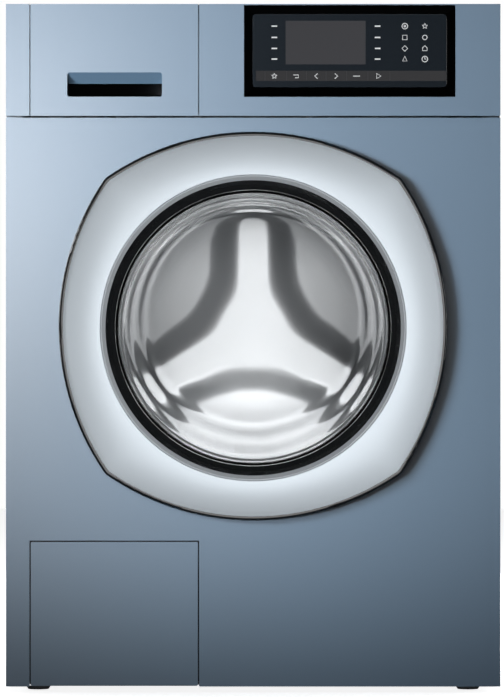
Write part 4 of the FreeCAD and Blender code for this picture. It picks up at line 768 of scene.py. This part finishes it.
class WASHER_OT_stretchers(bpy.types.Operator):
    """Builds the springs and hoses that stretch between the cabinet and the tub"""

    bl_idname = "washer.stretchers"
    bl_label = "Build the springs and hoses"

    def execute(self, context):
        self.springs()
        self.fill_hose()
        self.sump_hose()
        return {"FINISHED"}

    def place(self, name, points, faces, material, slot, node, held, moved):
        """Piece that stands in for a CAD node, fixed where it was built."""
        piece = make_piece(name, points, outward(points, faces), material, None)
        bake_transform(piece)
        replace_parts(piece, node)

    def springs(self):
        """Two coils: the path winds about an upright axis, and the wire closes to a point at its ends."""
        low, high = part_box("suspension_springs")
        thick, turns, rows, count = 2.2 * MM, 7, 420, 12
        coil = (high.y - low.y) / 2 - thick
        share = np.linspace(0, 1, rows)
        a = TURN * turns * share
        inward = stacked(-np.cos(a), -np.sin(a), 0.0)
        z = low.z + thick + (high.z - low.z - 2 * thick) * share
        radius = thick * np.sqrt(np.clip(np.minimum(share, 1 - share) * rows / 2, 0.0001, 1))
        y = (low.y + high.y) / 2
        parts = []
        for x in (low.x + coil + thick, high.x - coil - thick):
            path = stacked(x, y, z) - coil * inward
            wound = round_bar(path, inward, radius, count)
            parts.append((wound, grid_faces(rows, count, close_columns=True)))
        points, faces = joined(parts)
        self.place("suspension_coils", points, faces, zinc_sheet(), "zinc", "suspension_springs",
                   (0, y, high.z - 10 * MM), (0, y, low.z + 10 * MM))

    def fill_hose(self):
        """Upright bellows: a wavy outer wall and a plain bore, turned about the hose's own axis."""
        low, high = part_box("dispenser_hose")
        centre = (low + high) / 2
        crest, cuff, wall = (high.x - low.x) / 2, 10 * MM, 2 * MM
        folds, fold, rows, count = 3, 4 * MM, 60, 48
        level = np.linspace(low.z, high.z, rows)
        share = np.clip((level - low.z - cuff) / (high.z - low.z - 2 * cuff), 0, 1)
        outer = crest - fold * (0.5 + 0.5 * np.cos(TURN * folds * share))
        bore = np.full(rows, crest - fold - wall)
        radius = np.concatenate([outer, bore])[:, None]
        z = np.concatenate([level, level[::-1]])[:, None]
        a = circle_turns(count)
        points = stacked(centre.x + radius * np.cos(a), centre.y + radius * np.sin(a), z)
        self.place("dispenser_bellows", points.reshape(-1, 3), grid_faces(2 * rows, count, True, True),
                   hose_rubber(), "rubber", "dispenser_hose",
                   (centre.x, centre.y, high.z - cuff), (centre.x, centre.y, low.z + cuff))

    def sump_hose(self):
        """Ribbed elbow: a tube down, round a quarter bend and across, and its bore back the same way."""
        low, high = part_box("sump_hose")
        outer, wall, bend, cuff = (high.y - low.y) / 2, 2 * MM, 40 * MM, 14 * MM
        inset, rib, pitch, fade = 4.9 * MM, 1 * MM, 9 * MM, 4 * MM
        rows, bend_rows, count = 30, 40, 32
        x, y, z = high.x - outer - inset, (low.y + high.y) / 2, low.z + outer + inset
        t = np.linspace(0, 1, rows)
        turn = np.linspace(0, TURN / 4, bend_rows)[1:-1]
        down = stacked(x, y, high.z + (z + bend - high.z) * t)
        elbow = stacked(x - bend + bend * np.cos(turn), y, z + bend - bend * np.sin(turn))
        across = stacked(x - bend + (low.x - x + bend) * t, y, z)
        path = np.concatenate([down, elbow, across])
        level = np.tile([0.0, 1.0, 0.0], (len(path), 1))
        far = np.concatenate([[0], np.cumsum(np.linalg.norm(np.diff(path, axis=0), axis=1))])
        ribbed = np.minimum(soft_step((far - cuff) / fade), soft_step((far[-1] - cuff - far) / fade))
        radius = outer - rib * ribbed * (0.5 - 0.5 * np.cos(TURN * far / pitch))
        skin = round_bar(path, level, radius, count)
        bore = round_bar(path, level, np.full(len(path), outer - wall), count)
        bore = bore.reshape(-1, count, 3)[::-1].reshape(-1, 3)
        points = np.concatenate([skin, bore])
        self.place("sump_elbow", points, grid_faces(2 * len(path), count, True, True), hose_rubber(),
                   "rubber", "sump_hose", (x, y, z + bend - cuff), (x, y, high.z - 12 * MM))


class WASHER_OT_drum(bpy.types.Operator):
    """Finishes the drum and builds its perforated wall and its pressed back"""

    bl_idname = "washer.drum"
    bl_label = "Build the drum"

    def execute(self, context):
        s = context.scene.washer_drum
        steel = brushed_steel("drum_steel", (0.80, 0.81, 0.82), 0.12, rough_span=0.05, bump=0.03)
        dress(["drum_front", "drum_back", "drum_shell"], steel)
        dress(["drum_lifters"], finish("lifter_grey", (0.42, 0.44, 0.46), 0.36, metallic=0.5, drift=5.0,
                                       grain=300.0, vary=0.05, bump=0.04))
        low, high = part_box("drum_shell")
        wall = 1.2 * MM
        points, faces = perforated_wall(high.x - wall / 2, low.y - FRONT, high.y - FRONT, s.holes_around,
                                        s.holes_along, s.hole_radius)
        satin = brushed_steel("drum_wall_steel", (0.78, 0.79, 0.80), 0.34, rough_span=0.06, bump=0.04)
        skin = make_piece("drum_wall_perforated", points, faces, satin, "drum")
        thicken(skin, wall)
        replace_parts(skin, "drum_shell")
        low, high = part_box("drum_back")
        points, faces = pressed_back(high.x, high.x - s.rim_width, s.cone, high.y - low.y - wall,
                                     s.star_arm / 2, s.star_reach, s.star_hub, s.star_slope)
        points = points + np.array([0, high.y - wall / 2, AXIS_Z])
        back = make_piece("drum_back_pressed", points, faces, steel, "drum")
        thicken(back, wall)
        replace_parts(back, "drum_back")
        return {"FINISHED"}


# Places on the touch glass, in millimetres right of and above its lower left corner
MARK_ROWS = (74.19, 60.48, 47.14, 34.28)
DASH_COLUMNS = (26.16, 151.37)
ICON_COLUMNS = (184.38, 208.64)
KEY_ROW = 13.65
KEY_COLUMNS = (26.16, 52.37, 76.88, 101.27, 125.90, 152.59)
KEY_LINES = (14.88, 41.09, 65.11, 88.89, 113.76, 139.61, 166.30)
KEY_LINE_ENDS = (8.19, 19.60)
SCREEN = ((39.87, 27.85), (136.81, 80.75))
KEY_STRIP = ((3.96, 7.71), (234.49, 20.08))
OPEN_MARKS = ("dash", "clock_hands", "hook", "left", "right", "bar")


def on_glass(x, z):
    """Place on the front in metres, from millimetres on the touch glass."""
    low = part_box("display_glass")[0]
    return np.array([low.x + x * MM, low.z + z * MM])


def star_shape(points, inner):
    """Star whose corners lie in turn at 1 and at the inner radius."""
    turn = circle_turns(2 * points) + TURN / 4
    radius = np.where(np.arange(2 * points) % 2, inner, 1.0)[:, None]
    return stacked(np.cos(turn), np.sin(turn)) * radius


def mark_shapes():
    """Outlines of the marks, in half icons."""
    turn = circle_turns(24)
    shapes = {
        "dash": [[-1, 0], [1, 0]],
        "square": [[-0.8, -0.8], [0.8, -0.8], [0.8, 0.8], [-0.8, 0.8]],
        "diamond": [[0, -1], [1, 0], [0, 1], [-1, 0]],
        "triangle": [[-0.8, -0.7], [0.8, -0.7], [0.0, 1.0]],
        "clock_hands": [[0, 0.7], [0, 0], [0.5, 0]],
        "house": [[-0.8, -0.8], [0.8, -0.8], [0.8, 0.2], [0, 1.0], [-0.8, 0.2]],
        "hook": [[-0.9, 0.4], [0.9, 0.4], [0.9, -0.6], [-0.3, -0.6]],
        "left": [[0.5, 0.9], [-0.5, 0.0], [0.5, -0.9]],
        "right": [[-0.5, -0.9], [0.5, 0.0], [-0.5, 0.9]],
        "bar": [[-1.2, 0], [1.2, 0]],
        "flag": [[-0.7, -0.9], [0.9, 0.0], [-0.7, 0.9]],
        "circle": stacked(np.cos(turn), np.sin(turn)),
        "star": star_shape(5, 0.45),
    }
    return {name: np.array(points) for name, points in shapes.items()}


class WASHER_OT_controls(bpy.types.Operator):
    """Finishes the display and draws its screen, its keys and its touch marks"""

    bl_idname = "washer.controls"
    bl_label = "Build the display marks"

    def execute(self, context):
        s = context.scene.washer_finish
        dress(["display_frame"], gloss("display_black", s.black, 0.07, specular=0.12))
        dress(["display_glass"], gloss("touch_glass", s.touch, 0.1, specular=0.2))
        self.marks(context.scene.washer_marks, finish("touch_mark", s.mark, 0.4, vary=0.05, bump=0.0))
        self.panes(s)
        return {"FINISHED"}

    def draw_flat(self, name, parts, proud, material, slot):
        """Flat pieces on the front as one piece, set a little before the touch glass."""
        points, faces = joined(parts)
        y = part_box("display_glass")[0].y - proud
        placed = stacked(points[:, 0], y, points[:, 1])
        make_piece(name, placed, faces, material, "cabinet", smooth=False)

    def marks(self, m, material):
        """Dashes and icons as ribbons: four rows of marks and one row of keys."""
        items = [(x, z, "dash", 1.0, 1.8) for z in MARK_ROWS for x in DASH_COLUMNS]
        pairs = (("circle", 1.0, "star", 1.0), ("square", 1.0, "circle", 0.8),
                 ("diamond", 1.0, "house", 1.0), ("triangle", 1.0, "circle", 1.0))
        for z, (one, one_size, two, two_size) in zip(MARK_ROWS, pairs):
            items += [(ICON_COLUMNS[0], z, one, one_size, 1.0), (ICON_COLUMNS[1], z, two, two_size, 1.0)]
        items.append((ICON_COLUMNS[0], MARK_ROWS[0], "circle", 0.3, 1.0))
        items.append((ICON_COLUMNS[1], MARK_ROWS[3], "clock_hands", 1.0, 1.0))
        keys = ("star", "hook", "left", "right", "bar", "flag")
        items += [(x, KEY_ROW, key, 1.0, 1.0) for x, key in zip(KEY_COLUMNS, keys)]
        shapes = mark_shapes()
        parts = []
        for x, z, shape, size, weight in items:
            path = shapes[shape] * size * m.icon + on_glass(x, z)
            parts.append(ribbon(path, m.stroke * weight, shape not in OPEN_MARKS))
        self.draw_flat("touch_marks", parts, 0.12 * MM, material, "white_plastic")

    def panes(self, s):
        """Screen and key strip as flat panes, and thin lines between the keys."""
        strip_shade, line_shade = 0.42, 0.9
        screen = finish("screen_off", s.screen, 0.16, vary=0.08, bump=0.0, specular=0.1)
        strip = finish("key_strip", strip_shade * np.array(s.screen), 0.2, vary=0.1, bump=0.0, specular=0.1)
        line = finish("key_line", line_shade * np.array(s.screen), 0.3, vary=0.1, bump=0.0, specular=0.1)
        areas = (("screen_pane", SCREEN, screen, 0.06 * MM), ("key_strip_pane", KEY_STRIP, strip, 0.04 * MM))
        for name, (lower, upper), material, proud in areas:
            (x0, z0), (x1, z1) = on_glass(*lower), on_glass(*upper)
            points = np.array([[x0, z0], [x1, z0], [x0, z1], [x1, z1]])
            self.draw_flat(name, [(points, grid_faces(2, 2))], proud, material, "black_gloss")
        lines = [ribbon([on_glass(x, z) for z in KEY_LINE_ENDS], 0.5 * MM, False) for x in KEY_LINES]
        self.draw_flat("key_lines", lines, 0.08 * MM, line, "black_gloss")


class WASHER_OT_fasteners(bpy.types.Operator):
    """Adds the screws of the rear panel and its cover"""

    bl_idname = "washer.fasteners"
    bl_label = "Add the rear screws"

    def execute(self, context):
        head, sheet, cover_screws = 4 * MM, 1.2 * MM, 8
        columns = (-0.27, 0.27)
        rows = (0.03, 0.21, 0.40, 0.59, 0.79)
        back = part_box("rear_panel")[1].y
        low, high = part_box("rear_service_cover")
        centre = (low + high) / 2
        reach = (high.x - low.x) / 2 - 7 * MM
        places = [(centre.x + reach * math.cos(a), back + sheet, centre.z + reach * math.sin(a))
                  for a in circle_turns(cover_screws)]
        places += [(x, back, z) for x in columns for z in rows]
        points, faces = joined([screw_head(place, head) for place in places])
        make_piece("rear_screws", points, faces, zinc_sheet(), "cabinet")
        return {"FINISHED"}


class WASHER_OT_stage(bpy.types.Operator):
    """Sets the camera, the lamps, the floor and the backdrop"""

    bl_idname = "washer.stage"
    bl_label = "Set the stage"

    def execute(self, context):
        s = context.scene.washer_stage
        scene = context.scene
        scene.view_settings.view_transform = "Standard"
        self.camera(scene, s)
        self.lamps(s)
        self.floor()
        self.world(scene)
        return {"FINISHED"}

    def camera(self, scene, s):
        """Level camera whose picture is as high as the photograph shows at the front of the machine."""
        sensor = 36.0
        x, z = PICTURE_MIDDLE
        data = bpy.data.cameras.new("front_camera")
        data.sensor_fit = "VERTICAL"
        data.sensor_height = sensor
        data.lens = sensor * s.distance / PICTURE_HEIGHT
        camera = bpy.data.objects.new("front_camera", data)
        camera.location = (x, FRONT - s.distance, z)
        camera.rotation_euler = (TURN / 4, 0, 0)
        scene.collection.objects.link(camera)
        scene.camera = camera

    def lit_groups(self):
        """Collections of pieces for the lamps: painted fronts, drum, dark gloss with the painted shade of
        the finger slot, and the rest.
        """
        nodes, pieces = frame["nodes"], bpy.data.objects
        members = {
            "painted": [nodes[name] for name in (*PAINTED, "display_glass")],
            "drum": [piece for piece in pieces if piece.name.startswith("drum_")],
            # The finger slot's sheet of painted shade is lit by no lamp
            "dark": [nodes["display_frame"], pieces["door_glass_bowl"], pieces["grip_liner"]],
        }
        groups = {name: bpy.data.collections.new(name) for name in (*members, "rest")}
        for piece in pieces:
            if piece.type == "MESH":
                owner = next((name for name, inside in members.items() if piece in inside), "rest")
                groups[owner].objects.link(piece)
        return groups

    def lamp(self, name, place, target, size, spread, power, lit=None):
        """Area lamp that looks at its target and lights one group of pieces, or all of them."""
        data = bpy.data.lights.new(name, "AREA")
        data.shape = "RECTANGLE"
        data.size, data.size_y = size
        data.spread = math.radians(spread)
        data.energy = power
        lamp = bpy.data.objects.new(name, data)
        lamp.location = place
        lamp.rotation_euler = (Vector(target) - Vector(place)).to_track_quat("-Z", "Y").to_euler()
        lamp.visible_camera = False
        lamp.visible_transmission = False
        if lit:
            lamp.light_linking.receiver_collection = lit
        bpy.context.scene.collection.objects.link(lamp)

    def lamps(self, s):
        """Lamps before the machine, each for one group of pieces, and lamps round and above it for all."""
        groups = self.lit_groups()
        painted, drum, rest = groups["painted"], groups["drum"], groups["rest"]
        self.lamp("key_lamp", (-0.50, -1.25, 0.64), (-0.32, FRONT, 0.58), (0.4, 0.5), 90, s.key, painted)
        self.lamp("panel_lamp", (-0.45, -2.4, 0.80), (-0.05, FRONT, 0.66), (2.2, 1.1), 20, s.front, painted)
        self.lamp("side_lamp", (-1.70, -1.7, 1.00), (-0.02, FRONT, 0.72), (0.9, 0.6), 34, s.side, painted)
        self.lamp("glow_lamp", (-1.3, -1.8, 0.20), (0.02, FRONT, 0.24), (0.4, 0.2), 16, s.glow, painted)
        self.lamp("door_lamp", (0.10, -2.2, 0.32), (0.0, FRONT, 0.42), (2.2, 2.0), 100, s.door, rest)
        self.lamp("drum_lamp", (0.01, -2.2, 0.70), (0.01, FRONT, 0.70), (0.12, 0.52), 180, s.drum, drum)
        self.lamp("low_lamp", (0.0, -2.2, 0.06), (0.0, FRONT, 0.06), (1.6, 0.1), 180, s.low, drum)
        self.lamp("inside_lamp", (0.0, -0.16, 0.29), (0.0, 0.12, 0.27), (0.28, 0.06), 100, s.inside, drum)
        self.lamp("wall_lamp", (0.02, -0.10, 0.46), (-0.24, -0.02, 0.46), (0.12, 0.20), 180, s.wall, drum)
        around = (("back_lamp", (0.4, 2.6, 0.55)), ("right_lamp", (2.5, 0.6, 0.55)),
                  ("left_lamp", (-2.5, 0.6, 0.55)))
        for name, place in around:
            self.lamp(name, place, (0.0, 0.2, 0.45), (1.6, 0.9), 180, s.back)
        self.lamp("top_lamp", (0.0, 0.7, 2.8), (0.0, 0.1, 0.83), (1.6, 1.6), 180, s.top)

    def floor(self):
        """Pale flat floor that glows for the camera and gives the machine no light or shadow."""
        reach, glow = 6.0, 0.86
        material, tree, shader = new_material("pale_floor")
        seen = add_node(tree, "LightPath").outputs["Is Camera Ray"]
        shine = add_node(tree, "Math", {0: seen, 1: glow}, "MULTIPLY")
        set_inputs(tree, shader, {"Base Color": (0.86, 0.87, 0.88, 1), "Roughness": 0.7,
                                  "Emission Color": (1, 1, 1, 1), "Emission Strength": shine.outputs[0]})
        mesh = bpy.data.meshes.new("floor")
        points = [(x, y, 0.0) for x in (-reach, reach) for y in (-reach, reach)]
        mesh.from_pydata(points, [], grid_faces(2, 2)[:, ::-1].tolist())
        mesh.materials.append(material)
        floor = bpy.data.objects.new("floor", mesh)
        floor.visible_diffuse = False
        floor.visible_glossy = False
        floor.visible_shadow = False
        bpy.context.scene.collection.objects.link(floor)

    def world(self, scene):
        """White where the camera looks past the machine; elsewhere a soft room, lighter above."""
        world = bpy.data.worlds.new("studio")
        scene.world = world
        world.use_nodes = True
        tree = world.node_tree
        tree.nodes.clear()
        place = add_node(tree, "TexCoord").outputs["Generated"]
        height = add_node(tree, "SeparateXYZ", {0: place}).outputs["Z"]
        ramp = add_node(tree, "MapRange", {"Value": height, "From Min": -0.7, "From Max": 1.0,
                                           "To Min": 0.02, "To Max": 0.07})
        room = add_node(tree, "Background", {"Strength": ramp.outputs["Result"]})
        white = add_node(tree, "Background", {"Color": (1, 1, 1, 1)})
        seen = add_node(tree, "LightPath").outputs["Is Camera Ray"]
        pick = add_node(tree, "MixShader", {0: seen, 1: room.outputs[0], 2: white.outputs[0]})
        add_node(tree, "OutputWorld", {"Surface": pick.outputs[0]})


OPERATORS = (WASHER_OT_cabinet, WASHER_OT_dispenser, WASHER_OT_works, WASHER_OT_door, WASHER_OT_gasket,
             WASHER_OT_stretchers, WASHER_OT_drum, WASHER_OT_controls, WASHER_OT_fasteners, WASHER_OT_stage)


class WASHER_PT_pieces(bpy.types.Panel):
    """Lists the settings and the operators"""

    bl_idname = "WASHER_PT_pieces"
    bl_label = "Washing machine"
    bl_space_type = "VIEW_3D"
    bl_region_type = "UI"
    bl_category = "Washer"

    def draw(self, context):
        for name, group in SETTINGS:
            for prop in group.__annotations__:
                self.layout.prop(getattr(context.scene, name), prop)
        for operator in OPERATORS:
            self.layout.operator(operator.bl_idname)


CLASSES = tuple(group for _, group in SETTINGS) + OPERATORS + (WASHER_PT_pieces,)


def register():
    """Adds the classes and their settings."""
    for cls in CLASSES:
        bpy.utils.register_class(cls)
    for name, group in SETTINGS:
        setattr(bpy.types.Scene, name, PointerProperty(type=group))


def unregister():
    """Takes the settings and the classes away."""
    for name, _ in SETTINGS:
        delattr(bpy.types.Scene, name)
    for cls in reversed(CLASSES):
        bpy.utils.unregister_class(cls)


def main():
    """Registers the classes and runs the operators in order."""
    register()
    bpy.ops.washer.cabinet()
    bpy.ops.washer.dispenser()
    bpy.ops.washer.works()
    bpy.ops.washer.door()
    bpy.ops.washer.gasket()
    bpy.ops.washer.stretchers()
    bpy.ops.washer.drum()
    bpy.ops.washer.controls()
    bpy.ops.washer.fasteners()
    bpy.ops.washer.stage()


if __name__ == "__main__":
    main()
